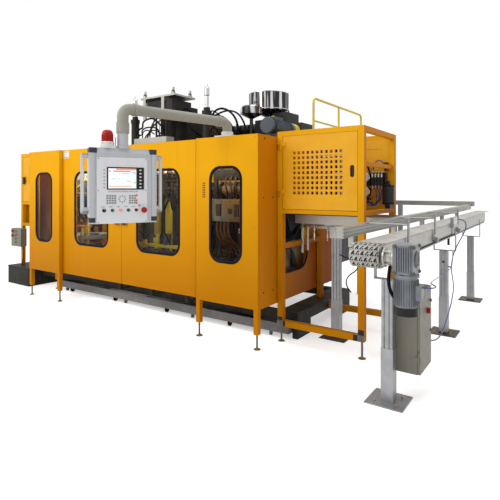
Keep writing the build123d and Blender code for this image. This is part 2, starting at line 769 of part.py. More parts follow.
with BuildPart() as unit_board:
    with BuildSketch(front_plane(unit_y1 - unit_tube)) as top_sheet:
        with Locations(((inner_x[0] + inner_x[1]) / 2, unit_height - 195)):
            Rectangle(inner_x[1] - inner_x[0], 268)
            with Locations((60, 10)):
                SlotOverall(560, 96)
                SlotOverall(540, 76, mode=Mode.SUBTRACT)
    extrude(top_sheet.sketch, amount=4)
    slab(*inner_x, unit_y1 - unit_tube + seam, unit_y1 - unit_tube + 12, lower_rail + 40 + seam,
         unit_height - unit_rail - seam)
    board_front = unit_y1 - unit_tube
    for z in (1690, 1530):
        rod((right + 640, board_front, z), (right + 640, board_front - 90, z), 48)
        slab(right + 600, right + 680, board_front - 60, board_front, z - 90, z - 50)
    for n in range(4):
        slab(right + 700 + 34 * n, right + 728 + 34 * n, board_front - 70, board_front, 1600, 1740)
    slab(right + 850, right + 862, board_front - 60, board_front, 1520, 1740)
    tank_x = unit_right - 30
    tank_y = unit_y1 - unit_tube - 110
    rod((tank_x, tank_y, 1400), (tank_x, tank_y, 1600), 62)
    rod((tank_x, tank_y, 1600), (tank_x, tank_y, 1616), 30)
    slab(tank_x - 12, tank_x + 12, tank_y, unit_y1 - unit_tube - 2, 1480, 1540)
    slab(unit_right - 60, unit_right - 6, tank_y - 20, tank_y + 60, 1355 + seam, 1400)
save(unit_board, "unit_board")

with BuildPart() as railing:
    rail_x = right - 24
    rail_radius = 14
    base_z = enclosure_height + seam
    top_z = enclosure_height + 550
    post_places = (front + 1240, back - 20, back + 790)
    for y in post_places:
        rod((rail_x, y, base_z), (rail_x, y, base_z + 8), 30)
    rod((rail_x, post_places[1], base_z), (rail_x, post_places[1], top_z), rail_radius - 1)
    with BuildLine() as handrail:
        FilletPolyline((rail_x, post_places[0], base_z), (rail_x, post_places[0], top_z),
                       (rail_x, post_places[2], top_z), (rail_x, post_places[2], base_z), radius=60)
    with BuildSketch(Plane(origin=handrail.line @ 0, z_dir=handrail.line % 0)) as ring:
        Circle(rail_radius)
    sweep(ring.sketch, path=handrail.line)
    middle_z = enclosure_height + 280
    rod((rail_x, post_places[0], middle_z), (rail_x, post_places[2], middle_z), rail_radius - 3)
save(railing, "railing")

with BuildPart() as rear_cabinet:
    cab_y0 = back + sheet + 2 * seam
    cab_y1 = back + 860
    slab(right - 1200, right, cab_y0, cab_y1, 580, enclosure_height)
    fillet(rear_cabinet.edges().filter_by(Axis.Z), 10)
    for x in (right - 1180, right - 80):
        slab(x, x + tube, cab_y1 - 80, cab_y1 - 80 + tube, 0, 580 - seam)
save(rear_cabinet, "rear_cabinet")

# Operator panel on its swing arm

arm_x = right - arm_base_x
arm_y = front + arm_base_y
box_x = right - panel_axis_x
box_y = front + panel_axis_y
arm_reach = Vector(box_x - arm_x, box_y - arm_y, 0)
arm_way = arm_reach.normalized()

with BuildPart() as arm_base:
    slab(arm_x - 110, arm_x + 110, front + 5, arm_y + 90, enclosure_height + seam, enclosure_height + 12)
    rod((arm_x, arm_y, enclosure_height + 12), (arm_x, arm_y, enclosure_height + 52), 60)
save(arm_base, "arm_base")

swivel_z = enclosure_height + 52 + run_gap
sleeve_bottom = arm_z - arm_drop
with BuildPart() as swing_arm:
    with BuildLine() as arm_line:
        FilletPolyline((arm_x, arm_y, swivel_z), (arm_x, arm_y, arm_z), (box_x, box_y, arm_z),
                       (box_x, box_y, sleeve_bottom), radius=70)
    with BuildSketch(Plane(origin=arm_line.line @ 0, z_dir=arm_line.line % 0)) as ring:
        Circle(arm_radius)
    sweep(ring.sketch, path=arm_line.line)
    for start, way in ((Vector(arm_x, arm_y, arm_z), arm_way), (Vector(box_x, box_y, arm_z), -arm_way)):
        collar = start + way * 95
        rod(tuple(collar), tuple(collar + way * 40), arm_radius + 7)
    rod((box_x, box_y, sleeve_bottom - 6), (box_x, box_y, sleeve_bottom + 85), arm_radius + 6)
save(swing_arm, "swing_arm")

normal = Vector(math.cos(math.radians(panel_turn - 90)), math.sin(math.radians(panel_turn - 90)), 0)
across = Vector(-normal.Y, normal.X, 0)
panel_centre = Vector(box_x, box_y, 0)


def panel_plane(offset):
    """A plane that faces out of the operator panel; its sketch is across by height."""
    return Plane(origin=tuple(panel_centre + normal * offset), x_dir=tuple(across), z_dir=tuple(normal))


panel_top_z = panel_bottom_z + panel_height
with BuildPart() as operator_panel:
    half = panel_width / 2
    with BuildSketch(Plane(origin=tuple(panel_centre + across * half), x_dir=tuple(normal),
                           z_dir=tuple(-across))) as side:
        with BuildLine():
            Polyline((-panel_depth / 2, panel_bottom_z + 40), (-panel_depth / 2, panel_top_z - 20),
                     (-panel_depth / 2 + 20, panel_top_z), (panel_depth / 2 - 26, panel_top_z),
                     (panel_depth / 2 - 8, panel_top_z - 40), (panel_depth / 2 - 8, panel_bottom_z - 30),
                     (panel_depth / 2 - 20, panel_bottom_z - 40), (-panel_depth / 2, panel_bottom_z + 40))
        make_face()
    extrude(side.sketch, amount=panel_width)
    rod((box_x, box_y, panel_top_z), (box_x, box_y, sleeve_bottom - 6 - run_gap), arm_radius - 2)
    rod((box_x, box_y, panel_top_z), (box_x, box_y, panel_top_z + 18), arm_radius + 10)
    for way in (-1, 1):
        outer = half + 48
        for z in (panel_bottom_z + 80, panel_top_z - 70):
            start = panel_centre + across * (way * half) + Vector(0, 0, z)
            stop = panel_centre + across * (way * outer) + Vector(0, 0, z)
            rod(tuple(start), tuple(stop), 17)
        low = panel_centre + across * (way * outer) + Vector(0, 0, panel_bottom_z + 57)
        high = panel_centre + across * (way * outer) + Vector(0, 0, panel_top_z - 47)
        rod(tuple(low), tuple(high), 14)
save(operator_panel, "operator_panel")

control_z = panel_bottom_z + 70
with BuildPart() as panel_face:
    with BuildSketch(panel_plane(panel_depth / 2 - 8 + seam)) as face:
        with Locations((0, panel_bottom_z + 250)):
            Rectangle(484, 556)
        with Locations((165, control_z)):
            Circle(10 + running_fit, mode=Mode.SUBTRACT)
    extrude(face.sketch, amount=5)
    with BuildSketch(panel_plane(panel_depth / 2 - 3 + seam)) as bezel:
        with Locations((0, panel_bottom_z + 365)):
            Rectangle(330, 200)
    extrude(bezel.sketch, amount=4)
    with BuildSketch(panel_plane(panel_depth / 2 - 3 + seam)) as buttons:
        with Locations(*[(-165 + 66 * n, control_z) for n in range(1, 5)]):
            Circle(15)
    extrude(buttons.sketch, amount=12)
save(panel_face, "panel_face")

with BuildPart() as selector_knob:
    with BuildSketch(panel_plane(panel_depth / 2 - 3 + 2 * seam)) as disc:
        with Locations((-165, control_z)):
            Circle(15)
    extrude(disc.sketch, amount=9)
    with BuildSketch(panel_plane(panel_depth / 2 + 6 + 2 * seam)) as bar:
        with Locations((-165, control_z)):
            Rectangle(9, 28)
    extrude(bar.sketch, amount=12)
save(selector_knob, "selector_knob")

with BuildPart() as emergency_stop:
    with BuildSketch(panel_plane(panel_depth / 2 + 12)) as dome:
        with Locations((165, control_z)):
            Circle(25)
    extrude(dome.sketch, amount=18, taper=12)
    with BuildSketch(panel_plane(panel_depth / 2 - 3)) as stem:
        with Locations((165, control_z)):
            Circle(10)
    extrude(stem.sketch, amount=15)
save(emergency_stop, "emergency_stop")

with BuildPart() as warning_beacon:
    beacon = panel_centre - across * 127
    base_z = panel_top_z + seam
    with BuildSketch(Plane(origin=(beacon.X, beacon.Y, 0), x_dir=(1, 0, 0), z_dir=(0, -1, 0))):
        with BuildLine():
            dome = [(48 * math.cos(math.radians(a)), base_z + 120 + 38 * math.sin(math.radians(a)))
                    for a in range(0, 90, 15)]
            Polyline((0, base_z), (56, base_z), (56, base_z + 58), (50, base_z + 60), *dome,
                     (0, base_z + 158), (0, base_z))
        make_face()
    revolve(axis=Axis((beacon.X, beacon.Y, 0), (0, 0, 1)))
save(warning_beacon, "warning_beacon")

# Outfeed conveyor along the machine's right side

belt_x0 = right + belt_left
belt_x1 = belt_x0 + belt_width
nose_place = front + nose_y
nose_z = belt_top - nose_radius
side_plate = 6
belt_skin = 12
belt_stop = front + belt_end

with BuildPart() as conveyor_frame:
    frame_start = nose_place - 40
    for x in (belt_x0 - seam - side_plate, belt_x1 + seam):
        slab(x, x + side_plate, frame_start, belt_stop, nose_z - 48, belt_top - 4)
    rod((belt_x1, nose_place, nose_z), (belt_x1 + 2 * side_plate, nose_place, nose_z), 16 + 0.4,
        mode=Mode.SUBTRACT)
    for n in range(5):
        y = front - 400 + n * 1000
        slab(belt_x0 + seam, belt_x1 - seam, y, y + 40, nose_z - 30, nose_z + 30)
    channel_y0 = front - 720
    with BuildSketch(front_plane(channel_y0)) as channel:
        with Locations((right + guide_left + guide_width / 2, guide_bottom + guide_height / 2)):
            Rectangle(guide_width, guide_height)
            for side in (-1, 1):
                with Locations((side * guide_width / 2, 0)):
                    with GridLocations(0, 24, 1, 3):
                        Rectangle(2 * guide_groove, guide_groove, mode=Mode.SUBTRACT)
    extrude(channel.sketch, amount=-(front + guide_end - channel_y0))
    for n in range(5):
        y = front - 520 + n * 1000
        slab(right + guide_left + guide_width + seam, belt_x0 - side_plate - 2 * seam, y, y + 50,
             belt_top - 60, belt_top - 48)
        slab(right + guide_left + 10, right + guide_left + guide_width - 10, y, y + 50,
             belt_top - 60, guide_bottom - seam)
        slab(right + guide_left + 10, right + guide_left + guide_width + seam, y, y + 50,
             belt_top - 60, belt_top - 48)
save(conveyor_frame, "conveyor_frame")

with BuildPart() as slat_belt:
    with BuildSketch(side_plane(belt_x0 + 1)) as loop:
        with Locations(((nose_place + belt_stop - nose_radius) / 2, nose_z)):
            SlotCenterToCenter(belt_stop - nose_radius - nose_place, 2 * nose_radius)
            SlotCenterToCenter(belt_stop - nose_radius - nose_place, 2 * (nose_radius - belt_skin),
                               mode=Mode.SUBTRACT)
    extrude(loop.sketch, amount=belt_width - 2)
    with BuildSketch(side_plane(belt_x0)) as grooves:
        for n in range(9):
            angle = math.radians(95 + n * 20)
            groove_y = nose_place + nose_radius * math.cos(angle)
            with Locations((groove_y, nose_z + nose_radius * math.sin(angle))):
                Circle(2.5)
    extrude(grooves.sketch, amount=belt_width, mode=Mode.SUBTRACT)
save(slat_belt, "slat_belt")

with BuildPart() as drive_shaft:
    shaft_end = belt_x1 + seam + side_plate
    drum_radius = nose_radius - belt_skin - run_gap
    rod((belt_x0 + 3, nose_place, nose_z), (belt_x1 - 3, nose_place, nose_z), drum_radius)
    rod((belt_x1 - 3, nose_place, nose_z), (shaft_end + 90, nose_place, nose_z), 16)
save(drive_shaft, "drive_shaft")

clip_face = 1434
clip_z = 725
with BuildPart() as conveyor_legs:
    saddle = 885
    sleeve = 395
    inner_leg_x = right + 460
    inner_plate = 10
    legs = [(right + leg_centre_x, front + y, leg_width, saddle) for y in leg_places]
    legs.append((inner_leg_x, front + 816, leg_width, inner_bottom - leg_cap - inner_plate))
    legs.append((right + 20, front + guide_end + rear_rail_depth / 2, leg_width - 10,
                 rear_rail_bottom - leg_cap - seam))
    for x, y, size, top in legs:
        with BuildSketch(Plane.XY) as plate:
            with Locations((x, y)):
                Rectangle(foot_plate, foot_plate)
                with GridLocations(foot_plate - 40, foot_plate - 40, 2, 2):
                    Circle(7, mode=Mode.SUBTRACT)
        extrude(plate.sketch, amount=foot_plate_thickness)
        slab(x - size / 2, x + size / 2, y - size / 2, y + size / 2, foot_plate_thickness + seam, sleeve)
        with BuildSketch(Plane.XY.offset(sleeve)) as profile:
            with Locations((x, y)):
                Rectangle(size - 8, size - 8)
                for turn in range(4):
                    for shift in (-18, 18):
                        reach = size / 2 - 4
                        dx, dy = (shift, -reach) if turn % 2 == 0 else (reach, shift)
                        flip = -1 if turn > 1 else 1
                        with Locations((dx * flip, dy * flip)):
                            Rectangle(9 if turn % 2 == 0 else 16, 16 if turn % 2 == 0 else 9,
                                      mode=Mode.SUBTRACT)
        extrude(profile.sketch, amount=top - sleeve)
        slab(x - size / 2 + 4, x + size / 2 - 4, y - size / 2 + 4, y + size / 2 - 4, top, top + leg_cap)
    bracket = 60
    for y in leg_places:
        y0 = front + y - bracket / 2
        left_x = belt_x0 - side_plate - 2 * seam - side_plate
        right_x = belt_x1 + side_plate + 2 * seam + side_plate
        slab(left_x, right_x, y0, y0 + bracket, saddle + leg_cap + seam, saddle + leg_cap + side_plate)
        for x in (left_x, right_x - side_plate):
            slab(x, x + side_plate, y0, y0 + bracket, saddle + leg_cap + side_plate + seam, nose_z)
    slab(inner_leg_x - 40, inner_leg_x + 40, front + inner_front, front + inner_front + inner_width,
         inner_bottom - inner_plate + seam, inner_bottom - seam)
    clip_y = front + leg_places[1]
    slab(right + leg_centre_x + leg_width / 2 - 4, right + clip_face, clip_y - 38, clip_y - 18,
         clip_z - 8, clip_z + 8)
save(conveyor_legs, "conveyor_legs")

with BuildPart() as gear_motor:
    box_left_x = shaft_end + 90 - 8
    gear_x = box_left_x + 62
    coupling = 30
    rod((shaft_end + seam, nose_place, nose_z), (shaft_end + coupling, nose_place, nose_z), 48)
    rod((shaft_end + coupling, nose_place, nose_z), (box_left_x, nose_place, nose_z), 34)
    rod((shaft_end, nose_place, nose_z), (box_left_x - 1, nose_place, nose_z), 16 + running_fit,
        mode=Mode.SUBTRACT)
    slab(box_left_x, box_left_x + 125, nose_place - 78, nose_place + 78, nose_z - 95, nose_z + 95)
    fillet(gear_motor.edges().filter_by(Axis.X).group_by(SortBy.LENGTH)[-1], 14)
    for n in range(7):
        x = box_left_x + 20 + 14 * n
        slab(x, x + 5, nose_place - 88, nose_place - 78, nose_z - 75, nose_z + 75)
    rod((shaft_end - 1, nose_place, nose_z), (shaft_end + 90 + 0.1, nose_place, nose_z),
        16 + running_fit, mode=Mode.SUBTRACT)
    flange_z = nose_z - 95
    rod((gear_x, nose_place, flange_z - 16), (gear_x, nose_place, flange_z), 78)
    rod((gear_x, nose_place, flange_z - 200), (gear_x, nose_place, flange_z - 16), 68)
    with BuildSketch(Plane.XY.offset(flange_z - 190)) as fins:
        with Locations((gear_x, nose_place)):
            with PolarLocations(68, 32):
                Rectangle(16, 4)
    extrude(fins.sketch, amount=160)
    rod((gear_x, nose_place, flange_z - 250), (gear_x, nose_place, flange_z - 200), 74)
    slab(gear_x + 40, gear_x + 92, nose_place - 35, nose_place + 45, flange_z - 150, flange_z - 60)
save(gear_motor, "gear_motor")

sensor_face = 1500
with BuildPart() as guide_rods:
    for n, y in enumerate((front - 230, front + 620, front + 1700)):
        x = belt_x1 + seam + side_plate + 14
        rod((x, y, belt_top - 90), (x, y, 1345), 9)
        rod((x + 9, y, 1300), (right + guide_left + guide_width + 4, y, 1300), 7)
        slab(belt_x1 + 2 * seam + side_plate, x + 26, y - 18, y + 18, belt_top - 110, belt_top - 70)
    bracket_x = belt_x1 + side_plate + 2 * seam
    slab(bracket_x, right + sensor_face, front + 1360, front + 1560, belt_top - 40, belt_top + 60)
    slab(bracket_x, bracket_x + side_plate, front + 1430, front + 1540, nose_z - 40, belt_top - 40)
save(guide_rods, "guide_rods")

cab_x0 = right + leg_centre_x + leg_width / 2 - 40
cab_y0 = front + leg_places[0] + leg_width / 2 + seam
gland_x = 1517
gland_z = 356
gland_length = 20
with BuildPart() as control_cabinet:
    cab_x1 = cab_x0 + cabinet_depth
    cab_y1 = cab_y0 + cabinet_width
    cab_top = cabinet_bottom + cabinet_height
    slab(cab_x0, cab_x1, cab_y0, cab_y1, cabinet_bottom, cab_top)
    inside = 3
    with BuildSketch(side_plane(cab_x1)) as cavity:
        with Locations(((cab_y0 + cab_y1) / 2, (cabinet_bottom + cab_top) / 2)):
            Rectangle(cabinet_width - 2 * inside, cabinet_height - 2 * inside)
    extrude(cavity.sketch, amount=-(cabinet_depth - inside), mode=Mode.SUBTRACT)
    rod((right + gland_x, cab_y1, gland_z), (right + gland_x, cab_y1 + gland_length, gland_z), 11)
    cabinet_pin = (cab_x1 + 11, cab_y0 - hinge_offset)
    for z in (cabinet_bottom + 90, cab_top - 150):
        rod((*cabinet_pin, z), (*cabinet_pin, z + hinge_length), 6)
        slab(cab_x1 - 24, cab_x1 + 11, cabinet_pin[1] + 3, cab_y0 - seam, z, z + hinge_length)
save(control_cabinet, "control_cabinet")

with BuildPart() as cabinet_door:
    for z in (cabinet_bottom + 90, cab_top - 150):
        upper = z + hinge_length + run_gap
        rod((*cabinet_pin, upper), (*cabinet_pin, upper + hinge_length), 6)
        slab(cab_x1 + 11, cab_x1 + 20, cabinet_pin[1], cab_y0 + 2, upper, upper + hinge_length)
    slab(cab_x1 + 2, cab_x1 + 20, cab_y0 + 2, cab_y1 - 2, cabinet_bottom + 2, cab_top - 2)
    rod((cab_x1 + 20, cab_y0 + 290, cab_top - 110), (cab_x1 + 34, cab_y0 + 290, cab_top - 110), 11)
save(cabinet_door, "cabinet_door")

with BuildPart() as main_switch:
    switch_y = cab_y0 + 200
    switch_z = cab_top - 170
    rod((cab_x1 + 20 + seam, switch_y, switch_z), (cab_x1 + 32, switch_y, switch_z), 22)
    slab(cab_x1 + 32, cab_x1 + 46, switch_y - 6, switch_y + 6, switch_z - 20, switch_z + 20)
save(main_switch, "main_switch")

with BuildPart() as cross_conveyors:
    start_x = right + 80
    end_x = right + guide_left - seam
    for y in (front + inner_front, front + inner_front + inner_width - 40):
        slab(start_x, end_x, y, y + 40, inner_bottom, inner_top)
    slab(start_x, end_x - 30, front + inner_front + 40 + seam, front + inner_front + inner_width - 40 - seam,
         inner_top - 60, inner_top - 45)
    rear_y = front + guide_end + seam
    slab(right - 550, right + guide_left + guide_width + 42, rear_y, rear_y + rear_rail_depth - seam,
         rear_rail_bottom, rear_rail_bottom + rear_rail_height)
    knob_x = right + 901
    knob_z = rear_rail_bottom + 40
    rod((knob_x, rear_y - 22, knob_z), (knob_x, rear_y - seam, knob_z), 20)
save(cross_conveyors, "cross_conveyors")

# Duct for the cables over the doors

with BuildPart() as cable_duct:
    duct_x0 = right - 1900
    duct_x1 = right - 1350
    duct_bottom = enclosure_height - tube + 40 + seam
    slab(duct_x0, duct_x1, rail_y, rail_y + 130, duct_bottom, duct_bottom + 85)
    fillet(cable_duct.edges().filter_by(Axis.X).group_by(Axis.Z)[-1], 6)
save(cable_duct, "cable_duct")

# Hoses, leads and cables


def cord(name, diameter, *points):
    """A tube on straight runs joined by arcs as large as the runs allow, as the limp cord lies."""
    route = [Vector(right + x, front + y, z) for x, y, z in points]
    radii = []
    for before, corner, after in zip(route, route[1:], route[2:]):
        arrive = corner - before
        leave = after - corner
        half_turn = math.radians(arrive.get_angle(leave)) / 2
        radii.append(0.45 * min(arrive.length, leave.length) / math.tan(half_turn))
    with BuildLine() as path:
        FilletPolyline(*route, radius=radii)
    line = path.wire()
    with BuildSketch(Plane(origin=line @ 0, z_dir=line % 0)) as section:
        Circle(diameter / 2)
    tube_solid = sweep(section.sketch, path=line)
    expected = line.length * section.sketch.area
    print(name, "length", round(line.length), "volume share", round(tube_solid.volume / expected, 4),
          "radii", [round(r) for r in radii])


with BuildPart() as cabinet_hose:
    cord("cabinet hose", 10, (1500, 1540, 1245), (1548, 1540, 1245), (1590, 1553, 1213), (1588, 1563, 1150),
         (1556, 1574, 1075), (1508, 1585, 985), (1464, 1594, 880), (1440, 1600, 775), (1440, 1599, 675),
         (1460, 1558, 604), (1487, 1452, 556), (1510, 1318, 527), (1524, 1180, 498), (1544, 1044, 476),
         (1553, 905, 446), (1566, 764, 422), (1573, 622, 390), (1580, 484, 356), (1573, 352, 324),
         (1550, 244, 328), (gland_x, 166, gland_z), (gland_x, cab_y1 - front + gland_length, gland_z))
save(cabinet_hose, "cabinet_hose")

with BuildPart() as motor_lead:
    cord("motor lead", 8, (gear_x - right + 92, nose_y + 5, 962), (gear_x - right + 150, nose_y + 5, 962),
         (gear_x - right + 165, nose_y + 85, 961), (1718, -560, 952), (1690, -440, 934), (1654, -250, 905),
         (1612, -30, 868), (1570, 200, 832), (1536, 430, 800), (1508, 660, 774), (1486, 900, 750),
         (1468, 1130, 733), (1452, 1340, 722), (1443, 1500, 718), (1441, 1608, clip_z - 2),
         (1441, 1635, 775), (1446, 1640, 834), (1446, 1640, saddle + leg_cap + seam))
save(motor_lead, "motor_lead")

port_x = pin_x["left"] - right + port_reach
rear_fitting = head_centre - right + fitting_places[1]
front_fitting = head_centre - right + fitting_places[0]
fitting_y = head_y - rod_offset
with BuildPart() as hydraulic_hoses:
    cord("upper hose", 24, (port_x, head_y, port_heights[1]), (-2500, head_y, port_heights[1]),
         (-2390, 690, 2486), (-2265, 648, 2514), (-2130, 642, 2522), (-2022, 632, 2448),
         (rear_fitting, fitting_y, 2375), (rear_fitting, fitting_y, fitting_top))
    cord("lower hose", 20, (port_x, head_y, port_heights[0]), (-2500, head_y, port_heights[0]),
         (-2410, 690, 2366), (-2300, 640, 2396), (-2185, 636, 2402), (-2095, 646, 2392),
         (front_fitting, fitting_y, 2350), (front_fitting, fitting_y, fitting_top))
    cord("hanging hose", 18, (-2165, 700, block_bottom), (-2165, 700, 2478), (-2212, 696, 2412),
         (-2270, 702, 2345), (-2318, 706, 2268), (-2366, 716, 2196), (-2430, 730, 2140),
         (-2500, 740, bracket_bottom + 10), (pin_x["left"] - right + 90, 740, bracket_bottom + 10))
    cord("arched hose", 32, (-1960, 1672, barrel_z + 130), (-1960, 1672, 2640), (-1905, 1672, 2735),
         (-1790, 1674, 2775), (-1665, 1676, 2740), (-1560, 1680, 2665), (-1490, 1684, 2560),
         (-1464, 1686, 2430), (-1462, 1686, 2310), (-1462, 1686, deck_top))
save(hydraulic_hoses, "hydraulic_hoses")

with BuildPart() as fixed_hoses:
    cord("box cable", 14, (-4970, 400, 600), (-4970, 400, 545), (-4958, 403, 480), (-4964, 397, 408),
         (-4990, 395, 345), (-4990, 395, pedestal_top))
    board_y = board_front - front
    cord("board hose", 8, (640, board_y - 45, 1440), (640, board_y - 45, 1412), (664, board_y - 47, 1382),
         (708, board_y - 49, 1372), (750, board_y - 50, 1398), (778, board_y - 50, 1446),
         (787, board_y - 48, 1500), (775, board_y - 42, 1546), (748, board_y - 35, 1572),
         (748, board_y - 35, 1600))
save(fixed_hoses, "fixed_hoses")

# Scrap tray on casters under the enclosure

with BuildPart() as scrap_tray:
    tray_x0 = right - tray_left
    tray_x1 = right - tray_right
    slab(tray_x0, tray_x1, front + tray_front, front + tray_front + tray_depth, tray_bottom, tray_top)
    with BuildSketch(Plane.XY.offset(tray_bottom + sheet)) as hollow:
        with Locations(((tray_x0 + tray_x1) / 2, front + tray_front + tray_depth / 2)):
            Rectangle(tray_x1 - tray_x0 - 2 * sheet, tray_depth - 2 * sheet)
    extrude(hollow.sketch, amount=tray_top - tray_bottom, mode=Mode.SUBTRACT)
    for x in (right - 3835, right - 2489, right - 1269, right - 148):
        for y in (front + tray_front + 30, front + tray_front + tray_depth - 60):
            rod((x - 9, y, caster_radius), (x + 9, y, caster_radius), caster_radius)
            slab(x - 20, x + 20, y - 20, y + 20, tray_bottom - 3 - seam, tray_bottom - seam)
save(scrap_tray, "scrap_tray")

with BuildPart() as levelling_feet:
    spots = [(x + tube / 2, front + sheet + tube / 2, leg_bottom) for x in front_posts]
    spots += [(x + tube / 2, back - tube / 2, leg_bottom) for x in (left_end, split_x, right - tube)]
    spots += [(section_right - tube / 2, y, leg_bottom)
              for y in (section_front + tube / 2, section_back - tube / 2)]
    spots += [(section_left + tube / 2, section_back - tube / 2, leg_bottom)]
    spots += [(x + unit_tube / 2, y + unit_tube / 2, unit_tube_bottom) for x in post_x for y in post_y
              if (x, y) != (post_x[0], post_y[1])]
    for x, y, top in spots:
        with BuildSketch(Plane(origin=(x, y, 0), x_dir=(1, 0, 0), z_dir=(0, -1, 0))) as pad:
            with BuildLine():
                Polyline((0, 0), (foot_pad_radius, 0), (foot_pad_radius, 5),
                         (stud_radius + 6, foot_pad_height), (stud_radius, foot_pad_height + 8),
                         (stud_radius, top - seam), (0, top - seam), (0, 0))
            make_face()
        revolve(pad.sketch, axis=Axis((x, y, 0), (0, 0, 1)))
save(levelling_feet, "levelling_feet")
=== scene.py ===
import json
import math
import random

import bmesh
import bpy
from mathutils import Matrix, Vector


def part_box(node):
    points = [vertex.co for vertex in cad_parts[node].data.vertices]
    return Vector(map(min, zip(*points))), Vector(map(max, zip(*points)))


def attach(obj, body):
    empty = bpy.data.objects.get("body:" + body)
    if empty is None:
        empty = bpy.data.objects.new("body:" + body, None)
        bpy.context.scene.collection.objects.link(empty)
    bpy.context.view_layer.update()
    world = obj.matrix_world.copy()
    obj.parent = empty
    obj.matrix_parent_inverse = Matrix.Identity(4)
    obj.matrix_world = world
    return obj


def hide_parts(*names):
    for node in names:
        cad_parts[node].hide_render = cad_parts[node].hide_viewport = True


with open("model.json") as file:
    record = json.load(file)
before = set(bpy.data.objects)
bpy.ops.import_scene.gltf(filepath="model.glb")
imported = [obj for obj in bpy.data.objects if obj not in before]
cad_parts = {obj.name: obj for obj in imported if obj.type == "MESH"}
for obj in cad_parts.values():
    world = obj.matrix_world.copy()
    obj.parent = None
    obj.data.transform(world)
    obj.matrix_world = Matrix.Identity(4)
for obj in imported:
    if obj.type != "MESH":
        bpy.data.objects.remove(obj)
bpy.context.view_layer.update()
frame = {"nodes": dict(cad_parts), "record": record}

scene = bpy.context.scene

# Places that the looks share with the solids. X runs from the enclosure's right end and Y from
# its front face, in millimetres, as in the lists of points below.
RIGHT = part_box("cover_panels")[1].x
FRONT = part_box("cover_panels")[0].y
MM = 0.001
MACHINE = Matrix.Translation((RIGHT, FRONT, 0)) @ Matrix.Scale(MM, 4)
PANEL_AXIS = (-670, -1070)
PANEL_TURN = math.radians(61.97 - 90)
PANEL_NORMAL = Vector((math.cos(PANEL_TURN), math.sin(PANEL_TURN), 0))
PANEL_ACROSS = Vector((-PANEL_NORMAL.y, PANEL_NORMAL.x, 0))
PANEL_AXES = Matrix(
    ((PANEL_ACROSS.x, 0, PANEL_NORMAL.x), (PANEL_ACROSS.y, 0, PANEL_NORMAL.y), (0, 1, 0)))
PANEL = MACHINE @ Matrix.Translation((*PANEL_AXIS, 0)) @ PANEL_AXES.to_4x4()
FACING_FRONT = Matrix(((1, 0, 0), (0, 0, -1), (0, 1, 0))).to_4x4()
FACING_RIGHT = Matrix(((0, 0, 1), (1, 0, 0), (0, 1, 0))).to_4x4()


# The photograph's camera, found from the machine's parallel edges

PHOTO_SIZE = 500
FOCAL_PIXELS = 449.1
HORIZON_ROW = 188.5
SENSOR_MM = 36.0
CAMERA_PLACE = (RIGHT + 2.407, FRONT - 3.606, 1.568)
CAMERA_TURN = 34.69

camera_data = bpy.data.cameras.new("photo_camera")
camera_data.sensor_width = SENSOR_MM
camera_data.lens = SENSOR_MM * FOCAL_PIXELS / PHOTO_SIZE
camera_data.shift_y = (HORIZON_ROW - PHOTO_SIZE / 2) / PHOTO_SIZE
camera_data.clip_end = 200
camera = bpy.data.objects.new("photo_camera", camera_data)
camera.location = CAMERA_PLACE
camera.rotation_euler = (math.radians(90), 0, math.radians(CAMERA_TURN))
scene.collection.objects.link(camera)
scene.camera = camera
scene.view_settings.view_transform = "Standard"


# Material tools

class Nodes:
    """Short ways to add and link the nodes of one tree."""

    def __init__(self, tree):
        self.tree = tree

    def add(self, kind, **settings):
        node = self.tree.nodes.new(kind)
        for key, value in settings.items():
            setattr(node, key, value)
        return node

    def link(self, source, target):
        self.tree.links.new(source, target)

    def ramp(self, source, low, high, out_low=0.0, out_high=1.0):
        node = self.add("ShaderNodeMapRange")
        node.inputs["From Min"].default_value = low
        node.inputs["From Max"].default_value = high
        node.inputs["To Min"].default_value = out_low
        node.inputs["To Max"].default_value = out_high
        self.link(source, node.inputs["Value"])
        return node.outputs["Result"]

    def math(self, operation, a, b=None):
        node = self.add("ShaderNodeMath", operation=operation)
        for socket, value in zip(node.inputs, (a, b)):
            if value is None:
                continue
            if isinstance(value, (int, float)):
                socket.default_value = value
            else:
                self.link(value, socket)
        return node.outputs["Value"]

    def part(self, vector, axis):
        """One component of a vector."""
        split = self.add("ShaderNodeSeparateXYZ")
        self.link(vector, split.inputs["Vector"])
        return split.outputs[axis]


looks = {}


